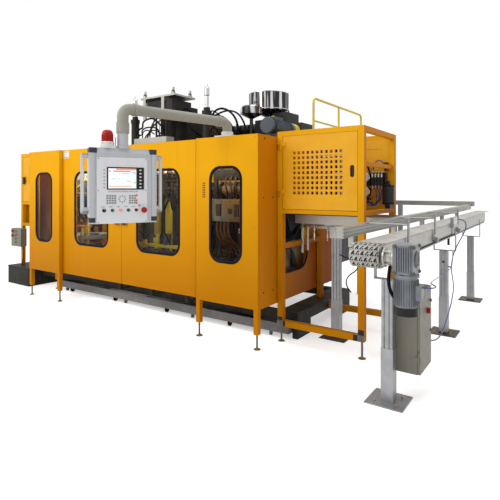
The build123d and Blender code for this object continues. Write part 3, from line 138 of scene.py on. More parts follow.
class Finish(Nodes):
    """A node material in the making, with one principled shader, kept in looks by its name."""

    def __init__(self, name):
        self.material = bpy.data.materials.new(name)
        self.material.use_nodes = True
        looks[name] = self.material
        super().__init__(self.material.node_tree)
        self.shader = self.tree.nodes["Principled BSDF"]
        self.place = self.add("ShaderNodeTexCoord").outputs["Object"]

    def set(self, **values):
        """Sets values on the shader's own sockets."""
        for key, value in values.items():
            self.shader.inputs[key.replace("_", " ")].default_value = value

    def stretched(self, scale):
        """Object coordinates scaled by axis, for streaks and brushing."""
        mapping = self.add("ShaderNodeMapping")
        mapping.inputs["Scale"].default_value = scale
        self.link(self.place, mapping.inputs["Vector"])
        return mapping.outputs["Vector"]

    def noise(self, scale, detail=4.0, rough=0.55, vector=None):
        node = self.add("ShaderNodeTexNoise")
        node.inputs["Scale"].default_value = scale
        node.inputs["Detail"].default_value = detail
        node.inputs["Roughness"].default_value = rough
        self.link(vector or self.place, node.inputs["Vector"])
        return node.outputs["Fac"]

    def mix(self, factor, a, b):
        node = self.add("ShaderNodeMix", data_type="RGBA")
        for socket, value in (
                (node.inputs["Factor"], factor), (node.inputs[6], a), (node.inputs[7], b)):
            if isinstance(value, (int, float)):
                socket.default_value = value
            elif isinstance(value, (tuple, list)):
                socket.default_value = (*value[:3], 1.0)
            else:
                self.link(value, socket)
        return node.outputs[2]

    def edges(self, radius):
        """White along sharp edges, from how far a rounded normal leaves the true one."""
        bevel = self.add("ShaderNodeBevel", samples=4)
        bevel.inputs["Radius"].default_value = radius
        geometry = self.add("ShaderNodeNewGeometry")
        dot = self.add("ShaderNodeVectorMath", operation="DOT_PRODUCT")
        self.link(bevel.outputs["Normal"], dot.inputs[0])
        self.link(geometry.outputs["True Normal"], dot.inputs[1])
        return self.ramp(dot.outputs["Value"], 0.98, 0.8)

    def upward(self):
        """White on faces that look up, where dust settles."""
        return self.facing("Z", 0.55, 0.95)

    def facing(self, axis, low, high):
        """White on faces that look along one axis."""
        geometry = self.add("ShaderNodeNewGeometry")
        return self.ramp(self.part(geometry.outputs["Normal"], axis), low, high)

    def height(self):
        return self.part(self.place, "Z")

    def bump(self, source, strength, distance):
        node = self.add("ShaderNodeBump")
        node.inputs["Strength"].default_value = strength
        node.inputs["Distance"].default_value = distance
        self.link(source, node.inputs["Height"])
        self.link(node.outputs["Normal"], self.shader.inputs["Normal"])

    def color(self, source):
        self.link(source, self.shader.inputs["Base Color"])

    def rough(self, source):
        self.link(source, self.shader.inputs["Roughness"])


def painted(
        name, color, shade, rough=0.4, wear=None, dust=(0.35, 0.3, 0.24), grime=0.3, dusty=0.25,
        shine=0.3):
    """Enamel or powder coat: orange peel, cloudy tone, grime, worn edges and dust on top."""
    finish = Finish(name)
    clouds = finish.ramp(finish.noise(1.7, 3), 0.35, 0.7)
    tone = finish.mix(clouds, color, shade)
    streaks = finish.noise(3.0, 5, 0.6, finish.stretched((6, 6, 0.7)))
    soiled = finish.math("MULTIPLY", finish.ramp(streaks, 0.52, 0.75), grime)
    tone = finish.mix(soiled, tone, dust)
    low = finish.ramp(finish.height(), 0.7, 0.0, 0.0, 0.35)
    spots = finish.ramp(finish.noise(14, 6, 0.65), 0.45, 0.7)
    tone = finish.mix(finish.math("MULTIPLY", low, spots), tone, dust)
    settled = finish.math("MULTIPLY", finish.upward(), dusty)
    tone = finish.mix(
        finish.math("MULTIPLY", settled, finish.ramp(finish.noise(9, 5), 0.3, 0.7)), tone, dust)
    if wear:
        chips = finish.ramp(finish.noise(60, 4, 0.7), 0.5, 0.62)
        tone = finish.mix(finish.math("MULTIPLY", finish.edges(0.004), chips), tone, wear)
    finish.color(tone)
    finish.rough(finish.ramp(finish.noise(24, 4), 0.2, 0.8, rough - 0.08, rough + 0.14))
    finish.bump(finish.noise(260, 2), 0.12, 0.0006)
    finish.set(Specular_IOR_Level=shine)


def cover_paint(name):
    """The covers' amber powder coat: painted shade low down and on the end face, deeper towards the
    end's back and bottom, with streaks and dents.
    """
    finish = Finish(name)
    clouds = finish.ramp(finish.noise(0.9, 3), 0.3, 0.75)
    tone = finish.mix(clouds, AMBER, AMBER_WARM)
    # Painted shade: the amber turns darker low down.
    tone = finish.mix(finish.ramp(finish.height(), 1.75, 0.45, 0.0, 1.0), tone, AMBER_LOW_SHADE)
    # Painted shade on the end face, deeper towards its back and bottom.
    end_face_shade = finish.math(
        "MULTIPLY", finish.facing("X", 0.5, 0.9),
        finish.ramp(finish.part(finish.place, "X"), RIGHT - 0.09, RIGHT - 0.07))
    deeper_end_shade = finish.math(
        "MULTIPLY", finish.ramp(finish.part(finish.place, "Y"), FRONT + 0.1, FRONT + 1.2),
        finish.ramp(finish.height(), 1.9, 0.9))
    tone = finish.mix(end_face_shade, tone, finish.mix(deeper_end_shade, AMBER_END_SHADE_AND_STREAKS, AMBER_REAR_SHADE))
    streaks = finish.noise(2.2, 5, 0.6, finish.stretched((5, 5, 0.45)))
    # Real streaks, in the darker amber of the end face's painted shade.
    tone = finish.mix(finish.ramp(streaks, 0.55, 0.85, 0.0, 0.35), tone, AMBER_END_SHADE_AND_STREAKS)
    spots = finish.ramp(finish.noise(26, 6, 0.7), 0.62, 0.74, 0.0, 0.5)
    low = finish.ramp(finish.height(), 0.95, 0.35)
    tone = finish.mix(finish.math("MULTIPLY", low, spots), tone, RUST_DUST)
    settled = finish.math("MULTIPLY", finish.upward(), 0.35)
    tone = finish.mix(settled, tone, RUST_DUST)
    chips = finish.ramp(finish.noise(70, 4, 0.7), 0.52, 0.64)
    tone = finish.mix(finish.math("MULTIPLY", finish.edges(0.003), chips), tone, (0.3, 0.13, 0.02))
    finish.color(tone)
    finish.rough(finish.ramp(finish.noise(18, 4), 0.2, 0.8, 0.32, 0.46))
    dents = finish.math(
        "ADD", finish.math("MULTIPLY", finish.noise(2.6, 2), 6.0), finish.noise(240, 2))
    finish.bump(dents, 0.1, 0.0008)
    finish.set(Specular_IOR_Level=0.03)


METAL_DIRT = (0.16, 0.14, 0.11)


def metal(name, color, shade, rough, brush=(1, 1, 1), soil=0.35):
    """Bare metal: brushed along one way and stained in patches."""
    finish = Finish(name)
    lines = finish.noise(42, 6, 0.7, finish.stretched(brush))
    tone = finish.mix(finish.ramp(lines, 0.3, 0.7), color, shade)
    stains = finish.ramp(finish.noise(3.2, 6, 0.65), 0.5, 0.8)
    tone = finish.mix(finish.math("MULTIPLY", stains, soil), tone, METAL_DIRT)
    finish.color(tone)
    finish.rough(finish.ramp(lines, 0.2, 0.8, rough - 0.07, rough + 0.12))
    finish.bump(lines, 0.15, 0.0005)
    finish.set(Metallic=1.0)


def moulded(name, color, shade, rough=0.45, dust=(0.35, 0.32, 0.27), dusty=0.3, **extra):
    """Plastic or rubber: fine grain, uneven sheen and a film of dust."""
    finish = Finish(name)
    tone = finish.mix(finish.ramp(finish.noise(6, 5), 0.35, 0.7), color, shade)
    film = finish.math("MULTIPLY", finish.ramp(finish.noise(11, 6, 0.65), 0.48, 0.75), dusty)
    tone = finish.mix(film, tone, dust)
    finish.color(tone)
    finish.rough(finish.ramp(finish.noise(18, 4), 0.2, 0.8, rough - 0.07, rough + 0.15))
    finish.bump(finish.noise(300, 2), 0.15, 0.0004)
    finish.set(**extra)


def clear_pane(name, tint, gloss):
    """Thin clear sheet: it lets a tinted view through and mirrors more at a glancing angle."""
    finish = Finish(name)
    smears = finish.ramp(finish.noise(5, 5, 0.6, finish.stretched((1, 1, 0.35))), 0.45, 0.8)
    finish.color(finish.mix(smears, tint, (0.16, 0.15, 0.13)))
    finish.rough(finish.ramp(smears, 0.0, 1.0, 0.03, 0.14))
    through = finish.add("ShaderNodeBsdfTransparent")
    through.inputs["Color"].default_value = (0.9, 0.9, 0.88, 1.0)
    fresnel = finish.add("ShaderNodeFresnel")
    fresnel.inputs["IOR"].default_value = 1.5
    share = finish.math(
        "ADD", finish.math("MULTIPLY", fresnel.outputs["Fac"], gloss),
        finish.ramp(smears, 0.0, 1.0, 0.0, 0.04))
    blend = finish.add("ShaderNodeMixShader")
    finish.link(share, blend.inputs["Fac"])
    finish.link(through.outputs["BSDF"], blend.inputs[1])
    finish.link(finish.shader.outputs["BSDF"], blend.inputs[2])
    output = next(node for node in finish.tree.nodes if node.type == "OUTPUT_MATERIAL")
    finish.link(blend.outputs["Shader"], output.inputs["Surface"])


def lit(name, color, strength, spread=0.0):
    """A lamp or screen that glows, with an uneven brightness."""
    finish = Finish(name)
    tone = finish.mix(finish.ramp(finish.noise(30, 3), 0.3, 0.7, 0.0, spread), color, (1, 1, 1))
    finish.color(tone)
    finish.link(tone, finish.shader.inputs["Emission Color"])
    finish.set(Emission_Strength=strength, Roughness=0.25)


AMBER = (0.79, 0.385, 0.008)
AMBER_WARM = (0.73, 0.345, 0.006)
# Painted shade of the amber low down.
AMBER_LOW_SHADE = (0.48, 0.182, 0.002)
# Painted shade of the end face, also the streaks' colour, and deeper painted shade towards its
# back.
AMBER_END_SHADE_AND_STREAKS = (0.6, 0.205, 0.004)
AMBER_REAR_SHADE = (0.25, 0.058, 0.001)
RUST_DUST = (0.24, 0.13, 0.035)
cover_paint("amber_paint")
painted("lemon_paint", (0.72, 0.56, 0.03), (0.6, 0.46, 0.02), 0.4, (0.2, 0.16, 0.05))
painted(
    "black_paint", (0.014, 0.014, 0.012), (0.024, 0.022, 0.018), 0.5, (0.08, 0.08, 0.07),
    (0.075, 0.065, 0.045), 0.4, 0.5, 0.12)
painted(
    "grey_paint", (0.045, 0.048, 0.045), (0.03, 0.034, 0.034), 0.5, (0.16, 0.16, 0.15), shine=0.15)
painted(
    "panel_silver", (0.52, 0.53, 0.56), (0.46, 0.47, 0.5), 0.35, (0.3, 0.3, 0.3), (0.3, 0.29, 0.26),
    0.15, 0.15)
painted(
    "tray_grey", (0.2, 0.2, 0.205), (0.15, 0.15, 0.155), 0.45, (0.12, 0.12, 0.11),
    (0.1, 0.09, 0.07), 0.4, 0.4, 0.2)
painted(
    "light_grey_paint", (0.36, 0.36, 0.32), (0.3, 0.3, 0.265), 0.42, (0.2, 0.2, 0.19),
    (0.2, 0.18, 0.14), 0.3)
painted(
    "arm_grey", (0.36, 0.355, 0.31), (0.31, 0.305, 0.265), 0.5, (0.2, 0.2, 0.19), (0.2, 0.18, 0.14),
    0.3, shine=0.15)
painted(
    "cabinet_grey", (0.2, 0.19, 0.15), (0.16, 0.15, 0.12), 0.42, (0.12, 0.12, 0.11),
    (0.12, 0.11, 0.08), 0.4)
painted(
    "panel_white", (0.74, 0.75, 0.78), (0.69, 0.7, 0.73), 0.38, (0.4, 0.4, 0.4), (0.34, 0.33, 0.3),
    0.12, 0.15)
painted(
    "blue_grey_paint", (0.075, 0.1, 0.125), (0.05, 0.07, 0.09), 0.42, (0.12, 0.12, 0.12),
    (0.1, 0.1, 0.09), 0.4)
metal("aluminium", (0.43, 0.42, 0.39), (0.34, 0.33, 0.3), 0.4, (30, 1, 30))
metal("upright_aluminium", (0.4, 0.4, 0.41), (0.31, 0.31, 0.32), 0.42, (30, 30, 1))
metal("steel", (0.36, 0.36, 0.37), (0.26, 0.26, 0.27), 0.38, (4, 4, 4), soil=0.5)
metal("dull_steel", (0.16, 0.155, 0.15), (0.09, 0.085, 0.08), 0.48, (4, 4, 4), soil=0.6)
metal("bright_steel", (0.62, 0.62, 0.61), (0.5, 0.5, 0.49), 0.22, (2, 2, 40), soil=0.2)
metal("brass", (0.62, 0.42, 0.16), (0.5, 0.33, 0.12), 0.3, (5, 5, 5))
painted(
    "black_steel", (0.01, 0.01, 0.009), (0.022, 0.021, 0.018), 0.42, (0.09, 0.09, 0.085),
    (0.05, 0.046, 0.036), 0.4, shine=0.2)
moulded(
    "rubber", (0.003, 0.0035, 0.008), (0.006, 0.008, 0.016), 0.5, (0.04, 0.04, 0.04), 0.15,
    Specular_IOR_Level=0.06)
# The filler strip's finish: lighter and bluish, partly a painted highlight along the seal's inner
# edge.
moulded("seal_lip_painted_highlight", (0.05, 0.055, 0.075), (0.03, 0.034, 0.05), 0.3, (0.1, 0.1, 0.1), 0.3)
moulded(
    "brown_hose", (0.06, 0.034, 0.017), (0.035, 0.02, 0.01), 0.45, (0.12, 0.09, 0.06), 0.2,
    Specular_IOR_Level=0.2)
moulded("blue_hose", (0.012, 0.02, 0.24), (0.01, 0.015, 0.17), 0.3, dusty=0.15)
painted("orange_paint", (0.7, 0.17, 0.02), (0.6, 0.14, 0.015), 0.4)
moulded("white_plastic", (0.72, 0.72, 0.69), (0.66, 0.66, 0.63), 0.4)
moulded("grey_plastic", (0.26, 0.27, 0.28), (0.22, 0.23, 0.24), 0.45)
moulded(
    "red_plastic", (0.43, 0.008, 0.006), (0.33, 0.006, 0.005), 0.3, (0.3, 0.1, 0.08), 0.1,
    Specular_IOR_Level=0.25)
moulded(
    "dark_red_plastic", (0.15, 0.004, 0.006), (0.11, 0.003, 0.005), 0.25, (0.2, 0.1, 0.08), 0.08,
    Specular_IOR_Level=0.25)
moulded(
    "green_plastic", (0.012, 0.11, 0.07), (0.01, 0.08, 0.055), 0.25, (0.1, 0.15, 0.12), 0.08,
    Specular_IOR_Level=0.25)
moulded(
    "black_plastic", (0.01, 0.01, 0.01), (0.018, 0.018, 0.018), 0.4, (0.1, 0.1, 0.09), 0.15,
    Specular_IOR_Level=0.2)
moulded(
    "corner_plastic", (0.032, 0.036, 0.052), (0.045, 0.05, 0.066), 0.45, (0.1, 0.1, 0.1), 0.15,
    Specular_IOR_Level=0.2)
moulded("slat_plastic", (0.52, 0.51, 0.48), (0.4, 0.38, 0.34), 0.42, (0.16, 0.14, 0.11), 0.45)
moulded(
    "chevron_black", (0.008, 0.008, 0.01), (0.014, 0.014, 0.015), 0.5, (0.05, 0.05, 0.05), 0.15,
    Specular_IOR_Level=0.15)
moulded("card_brown", (0.17, 0.105, 0.05), (0.11, 0.065, 0.03), 0.5)
moulded(
    "copper_hose", (0.1, 0.032, 0.008), (0.055, 0.02, 0.006), 0.4, (0.12, 0.08, 0.05), 0.2,
    Specular_IOR_Level=0.2)
# Painted shade: the cover amber darkened for a sheet inside the machine.
painted(
    "amber_in_painted_shade", (0.36, 0.105, 0.006), (0.25, 0.07, 0.005), 0.5, (0.08, 0.04, 0.02),
    (0.1, 0.05, 0.02), 0.5, shine=0.1)
painted("blue_paint", (0.02, 0.045, 0.12), (0.015, 0.03, 0.08), 0.4)
clear_pane("pane", (0.02, 0.02, 0.02), 0.35)
lit("screen_white", (0.8, 0.84, 0.88), 0.35)
lit("screen_orange", (0.85, 0.3, 0.05), 0.35)
lit("screen_pink", (0.8, 0.06, 0.16), 0.35)
lit("screen_green", (0.25, 0.75, 0.1), 0.35)
lit("screen_blue", (0.2, 0.45, 0.8), 0.3)
lit("lamp_orange", (0.8, 0.13, 0.012), 0.3, 0.2)


# Mesh tools

SHARP_ANGLE = math.radians(35)


def rounded(width, height, radius, steps=10):
    """Points of a rectangle with round corners, counter-clockwise from the lower right corner."""
    points = []
    for turn, (sx, sy) in enumerate(((1, -1), (1, 1), (-1, 1), (-1, -1))):
        cx = sx * (width / 2 - radius)
        cy = sy * (height / 2 - radius)
        for n in range(steps + 1):
            angle = math.radians(-90 + 90 * turn + 90 * n / steps)
            points.append((cx + radius * math.cos(angle), cy + radius * math.sin(angle)))
    return points


def ring(count, radius, centre=(0, 0), start=0.0):
    """Evenly spaced points round a circle, as pairs of coordinates."""
    for n in range(count):
        turn = start + 2 * math.pi * n / count
        yield centre[0] + radius * math.cos(turn), centre[1] + radius * math.sin(turn)


def pipe(name, points, radius, roundness, steps):
    """A curve with a round section, on a smooth line through points."""
    data = bpy.data.curves.new(name, "CURVE")
    data.dimensions = "3D"
    spline = data.splines.new("NURBS")
    spline.points.add(len(points) - 1)
    for point, place in zip(spline.points, points):
        point.co = (*place, 1)
    spline.order_u = 3
    spline.use_endpoint_u = True
    data.bevel_depth = radius
    data.bevel_resolution = roundness
    data.resolution_u = steps
    data.use_fill_caps = True
    return data


class Piece:
    """A mesh in the making: its forms in millimetres, their finishes and the body it rides on."""

    def __init__(self, name, body, slot=None, base=MACHINE):
        self.name = name
        self.body = body
        self.finishes = []
        self.slot = slot
        self.base = base
        self.form = bmesh.new()
        self.index = 0

    def use(self, finish):
        """Gives the forms that follow this finish."""
        if finish not in self.finishes:
            self.finishes.append(finish)
        self.index = self.finishes.index(finish)
        return self

    def join(self, form, place=None):
        """Adds a form with the finish in use."""
        if place is not None:
            bmesh.ops.transform(form, matrix=place, verts=form.verts)
        for face in form.faces:
            face.material_index = self.index
            face.smooth = True
        mesh = bpy.data.meshes.new("form")
        form.to_mesh(mesh)
        form.free()
        self.form.from_mesh(mesh)
        bpy.data.meshes.remove(mesh)

    def blocks(self, *rows):
        for row in rows:
            self.block(*row)

    def block(self, x0, x1, y0, y1, z0, z1, bevel=1.5, place=None):
        form = bmesh.new()
        size = Matrix.Diagonal((abs(x1 - x0), abs(y1 - y0), abs(z1 - z0), 1))
        middle = Matrix.Translation(((x0 + x1) / 2, (y0 + y1) / 2, (z0 + z1) / 2))
        bmesh.ops.create_cube(form, size=1, matrix=middle @ size)
        bmesh.ops.bevel(
            form, geom=form.edges[:], offset=bevel, segments=2, affect="EDGES", profile=0.6)
        self.join(form, place)

    def lathe(self, origin, direction, profile, segments=28):
        """A turned form: its profile is a list of (radius, distance along the axis)."""
        form = bmesh.new()
        rings = []
        for radius, along in profile:
            if radius <= 0:
                rings.append([form.verts.new((0, 0, along))])
                continue
            rings.append(
                [
                    form.verts.new(
                        (
                            radius * math.cos(2 * math.pi * n / segments),
                            radius * math.sin(2 * math.pi * n / segments), along))
                    for n in range(segments)])
        for low, high in zip(rings, rings[1:]):
            for n in range(segments):
                corners = [
                    low[n % len(low)], low[(n + 1) % len(low)], high[(n + 1) % len(high)],
                    high[n % len(high)]]
                unique = list(dict.fromkeys(corners))
                if len(unique) > 2:
                    form.faces.new(unique)
        turn = Vector((0, 0, 1)).rotation_difference(Vector(direction)).to_matrix().to_4x4()
        self.join(form, Matrix.Translation(origin) @ turn)

    def rod(self, start, end, radius, bevel=0.8, segments=24):
        length = (Vector(end) - Vector(start)).length
        bevel = min(bevel, radius * 0.4, length * 0.3)
        self.lathe(
            start, Vector(end) - Vector(start),
            (
                (0, 0), (radius - bevel, 0), (radius, bevel), (radius, length - bevel),
                (radius - bevel, length), (0, length)),
            segments)

    def screw(self, place, direction, radius=5):
        """A socket screw's round head with its recess."""
        self.lathe(
            place, direction,
            (
                (radius, 0), (radius, radius * 0.5), (radius * 0.85, radius * 0.65),
                (radius * 0.45, radius * 0.65), (radius * 0.4, radius * 0.3), (0, radius * 0.3)),
            14)

    def nut(self, place, direction, radius=8):
        self.lathe(
            place, direction,
            (
                (radius, 0), (radius, radius * 0.7), (radius * 0.8, radius * 0.85),
                (0, radius * 0.85)),
            6)

    def loops(self, outlines, place, closed=False):
        """A band between outlines of equally many points, each a list of (x, y, z)."""
        form = bmesh.new()
        rows = [[form.verts.new(point) for point in outline] for outline in outlines]
        pairs = list(zip(rows, rows[1:]))
        if closed:
            pairs.append((rows[-1], rows[0]))
        for low, high in pairs:
            for n in range(len(low)):
                m = (n + 1) % len(low)
                form.faces.new((low[n], low[m], high[m], high[n]))
        bmesh.ops.recalc_face_normals(form, faces=form.faces[:])
        self.join(form, place)

    def plate(self, outline, low, high, place=None, bevel=0.8):
        """A flat sheet with the given outline, between two levels."""
        form = bmesh.new()
        face = form.faces.new([form.verts.new((x, y, low)) for x, y in outline])
        up = bmesh.ops.extrude_face_region(form, geom=[face])
        moved = [item for item in up["geom"] if isinstance(item, bmesh.types.BMVert)]
        bmesh.ops.translate(form, vec=(0, 0, high - low), verts=moved)
        bmesh.ops.recalc_face_normals(form, faces=form.faces[:])
        if bevel:
            rim = [
                edge for edge in form.edges if abs(edge.verts[0].co.z - edge.verts[1].co.z) < 1e-6]
            bmesh.ops.bevel(form, geom=rim, offset=bevel, segments=1, affect="EDGES", profile=0.5)
        self.join(form, place)

    def tube(self, radius, *points, sides=10):
        """A pipe on a smooth line through points."""
        data = pipe("route", points, radius, max(1, sides // 4 - 1), 6)
        helper = bpy.data.objects.new("route", data)
        mesh = bpy.data.meshes.new_from_object(helper)
        form = bmesh.new()
        form.from_mesh(mesh)
        bpy.data.objects.remove(helper)
        bpy.data.curves.remove(data)
        bpy.data.meshes.remove(mesh)
        self.join(form)

    def done(self, *nodes):
        """Makes the object, lets it ride on its body and stand for its nodes."""
        mesh = bpy.data.meshes.new(self.name)
        bmesh.ops.transform(self.form, matrix=self.base, verts=self.form.verts)
        self.form.to_mesh(mesh)
        self.form.free()
        mesh.set_sharp_from_angle(angle=SHARP_ANGLE)
        for finish in self.finishes:
            mesh.materials.append(looks[finish])
        piece = bpy.data.objects.new(self.name, mesh)
        scene.collection.objects.link(piece)
        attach(piece, self.body)
        if nodes:
            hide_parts(*nodes)
        return piece


# Carried-over nodes

def dress(node, material):
    """Gives a carried-over node one material."""
    materials = frame["nodes"][node].data.materials
    materials.clear()
    materials.append(material)


slot_of = {entry["node"]: entry["material_slot"] for entry in frame["record"]["subparts"]}
special = {
    "operator_panel": "panel_silver",
    "scrap_tray": "tray_grey",
    "swing_arm": "arm_grey",
    "platen_left_front": "dull_steel",
    "platen_left_rear": "dull_steel",
    "platen_right_front": "dull_steel",
    "platen_right_rear": "dull_steel",
    "arm_base": "white_plastic",
    "control_cabinet": "cabinet_grey",
    "cabinet_door": "cabinet_grey",
    "operator_box": "cabinet_grey",
}
for name in frame["nodes"]:
    dress(name, looks[special.get(name, slot_of[name])])

# Windows: rubber seal with its filler strip, and the pane

WINDOW_BOTTOM = 815
WINDOW_TOP = 1788
WINDOW_CORNER = 130
SEAL_WIDTH = 16
DOOR_FACE = 61


def seal_outline(width, inset, out):
    height = WINDOW_TOP - WINDOW_BOTTOM
    return [
        (x, y, out)
        for x, y in rounded(width - 2 * inset, height - 2 * inset, WINDOW_CORNER - inset)]


def window(name, body, spans, face, *nodes):
    piece = Piece(name, body, "rubber")
    for centre, width in spans:
        place = Matrix.Translation((centre, face, (WINDOW_BOTTOM + WINDOW_TOP) / 2)) @ FACING_FRONT
        piece.use("rubber")
        section = (
            (-9, 0), (-10, 1.5), (-9, 4), (0, 5), (6, 4.6), (7, 3.2), (9.5, 3.2), (10.5, 4.4),
            (16, 4), (SEAL_WIDTH + 3, 1.5), (SEAL_WIDTH + 3, -9), (1, -9), (0.5, 0))
        piece.loops([seal_outline(width, inset, out) for inset, out in section], place, closed=True)
        # Filler strip: a real part, lighter than the rubber as a painted highlight along the inner
        # edge.
        piece.use("seal_lip_painted_highlight")
        strip = ((13.4, 3.9), (13.8, 5.0), (15.0, 5.0), (15.4, 3.9))
        piece.loops([seal_outline(width, inset, out) for inset, out in strip], place)
        piece.use("pane")
        outline = [(x, y) for x, y, _ in seal_outline(width, SEAL_WIDTH - 1, 0)]
        piece.plate(outline, -4, -1, place, bevel=0)
    return piece.done(*nodes)


window("fixed_window_glazing", "machine", ((-3679, 403), (-395, 403)), 0, "fixed_windows")
window("left_door_glazing", "door_left", ((-2679, 700),), DOOR_FACE, "door_window_left")
window("right_door_glazing", "door_right", ((-1438, 700),), DOOR_FACE, "door_window_right")

# Operator panel: face plate, screen, keys, push buttons, corner caps and grips

FACE_OUT = 57.2
BODY_OUT = 52


def panel_middle(node):
    """Middle of a node's box, in the operator panel's own frame."""
    low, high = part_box(node)
    return PANEL.inverted() @ ((low + high) / 2)


control_row = panel_middle("emergency_stop").y
face = Piece("panel_front", "operator_panel", "light_grey_paint", PANEL)
FACE_LEFT = -222
FACE_RIGHT = 196
face.use("panel_white")
middle = (FACE_LEFT + FACE_RIGHT) / 2
plate_low, plate_high = 1276, 1828
place = Matrix.Translation((middle, (plate_low + plate_high) / 2, 0))
face.plate(
    rounded(FACE_RIGHT - FACE_LEFT, plate_high - plate_low, 5, 4), BODY_OUT, FACE_OUT, place, 1.2)
face.use("black_plastic").block(-141, 167, 1559, 1747, FACE_OUT, FACE_OUT + 4, 2)
face.use("screen_white")
SCREEN = FACE_OUT + 4.1
face.block(-130, 101, 1569, 1736, SCREEN - 1, SCREEN, 0.3)
face.use("screen_orange").blocks(
    (-66, 101, 1722, 1735, SCREEN, SCREEN + 0.3, 0.1),
    (-128, 60, 1584, 1590, SCREEN, SCREEN + 0.3, 0.1))
face.use("screen_pink").blocks(
    (-90, 52, 1708, 1717, SCREEN, SCREEN + 0.3, 0.1),
    (-124, -110, 1709, 1718, SCREEN, SCREEN + 0.3, 0.1))
face.use("screen_green")
for row in (1612, 1690):
    face.block(82, 96, row, row + 14, SCREEN, SCREEN + 0.3, 0.1)
face.use("screen_blue")
for x, y, width in (
        (-44, 1650, 8), (-44, 1686, 8), (-20, 1690, 60), (-100, 1646, 26), (20, 1628, 34),
        (64, 1700, 26)):
    face.block(x, x + width, y, y + 5, SCREEN, SCREEN + 0.3, 0.1)
face.use("white_plastic")
for n in range(6):
    face.block(127, 145, 1718 - 29 * n, 1729 - 29 * n, FACE_OUT + 4, FACE_OUT + 6, 1.5)
face.use("grey_plastic")
for start, columns, rows in ((-145, 4, 4), (40, 3, 4)):
    for column in range(columns):
        for row in range(rows):
            x = start + 21 * column
            y = 1440 + 20 * row
            face.block(x, x + 16, y, y + 14, FACE_OUT, FACE_OUT + 1.6, 1.2)
for x, y in ring(8, 26, (-16, 1480)):
    face.rod((x, y, FACE_OUT), (x, y, FACE_OUT + 1.6), 6, 0.6, 12)
for n in range(12):
    x = -126 + 20.5 * n
    face.block(x, x + 13, 1538, 1545, FACE_OUT, FACE_OUT + 1.2, 0.8)
for n in range(6):
    face.block(-168, -158, 1572 + 29 * n, 1582 + 29 * n, FACE_OUT, FACE_OUT + 1.2, 0.8)
face.use("orange_paint")
for y in (1438, 1459, 1502):
    face.block(98, 112, y, y + 16, FACE_OUT, FACE_OUT + 1.8, 1.2)
face.use("grey_plastic").rod((128, 1424, FACE_OUT), (128, 1424, FACE_OUT + 3), 9)
for n in range(5):
    x = -172 + 62 * n
    face.block(x - 14, x + 14, control_row + 28, control_row + 33, FACE_OUT, FACE_OUT + 0.8, 0.3)
face.use("dull_steel")
for x in (FACE_LEFT + 12, FACE_RIGHT - 12):
    for y in (plate_low + 12, (plate_low + plate_high) / 2, plate_high - 12):
        face.screw((x, y, FACE_OUT), (0, 0, 1), 4)
face.done("panel_face")

buttons = Piece("panel_buttons", "operator_panel", "bright_steel", PANEL)
knob_at = panel_middle("selector_knob").x
stop_at = panel_middle("emergency_stop").x
for n, cap in enumerate(("green_plastic", "lamp_orange", "green_plastic", "dark_red_plastic"), 1):
    x = knob_at + (stop_at - knob_at) * n / 5
    buttons.use("bright_steel").lathe(
        (x, control_row, FACE_OUT), (0, 0, 1),
        ((19, 0), (19, 3), (17, 5), (14.5, 5.5), (14, 4), (0, 4)))
    buttons.use(cap)
    buttons.lathe(
        (x, control_row, FACE_OUT), (0, 0, 1),
        ((13.6, 3), (13.6, 8.5), (12.4, 10), (6, 10.8), (0, 11)))
for x, size in ((knob_at, 21), (stop_at, 24)):
    buttons.use("bright_steel").lathe(
        (x, control_row, FACE_OUT), (0, 0, 1),
        ((size, 0), (size, 2), (size - 2, 2.9), (size - 5, 2.9)))
buttons.done()

stop = Piece("panel_stop", "emergency_stop", "red_plastic", PANEL)
stop.use("red_plastic").lathe(
    (stop_at, control_row, FACE_OUT + 14.6), (0, 0, 1),
    ((22, 0), (24.6, 2), (25, 6), (23, 12), (17, 16.4), (8, 17.9), (0, 18)), 36)
stop.done()
knob = Piece("panel_knob", "selector_knob", "black_plastic", PANEL)
knob.use("black_plastic").lathe(
    (knob_at, control_row, FACE_OUT + 0.3), (0, 0, 1), ((14.8, 0), (14.8, 7), (13, 9), (0, 9.4)))
knob.block(
    knob_at - 5, knob_at + 5, control_row - 14, control_row + 14, FACE_OUT + 9, FACE_OUT + 20, 2.5)
knob.use("white_plastic").block(
    knob_at - 1, knob_at + 1, control_row + 3, control_row + 13, FACE_OUT + 20, FACE_OUT + 20.4,
    0.1)
knob.done("selector_knob")

trim = Piece("panel_trim", "operator_panel", "light_grey_paint", PANEL)
HALF = 280
for side in (-1, 1):
    trim.use("corner_plastic").blocks(
        (side * (HALF - 62), side * (HALF + 1.2), 1858, 1906.5, -60.8, BODY_OUT + 2.4, 8),
        (side * (HALF - 50), side * (HALF + 1.2), 1286, 1332, -44, BODY_OUT + 3, 6))
    trim.use("panel_silver").blocks(
        (side * (HALF - 44), side * (HALF - 2), 1326, 1862, BODY_OUT - 4, BODY_OUT + 5, 3),
        (side * (HALF - 50), side * (HALF - 47), 1326, 1862, BODY_OUT - 2, BODY_OUT + 2.5, 0.8))
    trim.use("grey_plastic")
    for y in (1372, 1843):
        trim.block(side * HALF, side * (HALF + 57), y - 14, y + 14, -16, 12, 4)
    trim.use("white_plastic").rod(
        (side * (HALF + 47), 1388, 0), (side * (HALF + 47), 1826, 0), 14.4)
trim.use("panel_silver").block(-216, 216, 1846, 1906.4, 20, 41, 3)
trim.done()

collar = Piece("panel_collar", "operator_panel", "light_grey_paint", PANEL)
TOP = 1905
collar.use("panel_silver").lathe(
    (0, TOP, 0), (0, 1, 0), ((62, 0), (62, 5), (58, 8), (54, 9), (53, 22), (50, 26), (47, 27)), 40)
collar.use("dull_steel")
for x, z in ring(4, 58, start=math.pi / 4):
    collar.screw((x, TOP + 6, z), (0, 1, 0), 4)
collar.use("red_plastic").block(-66, -60, TOP + 12, TOP + 96, 10, 18, 2)
collar.done()

# Beacon: ribbed red lens on a white base

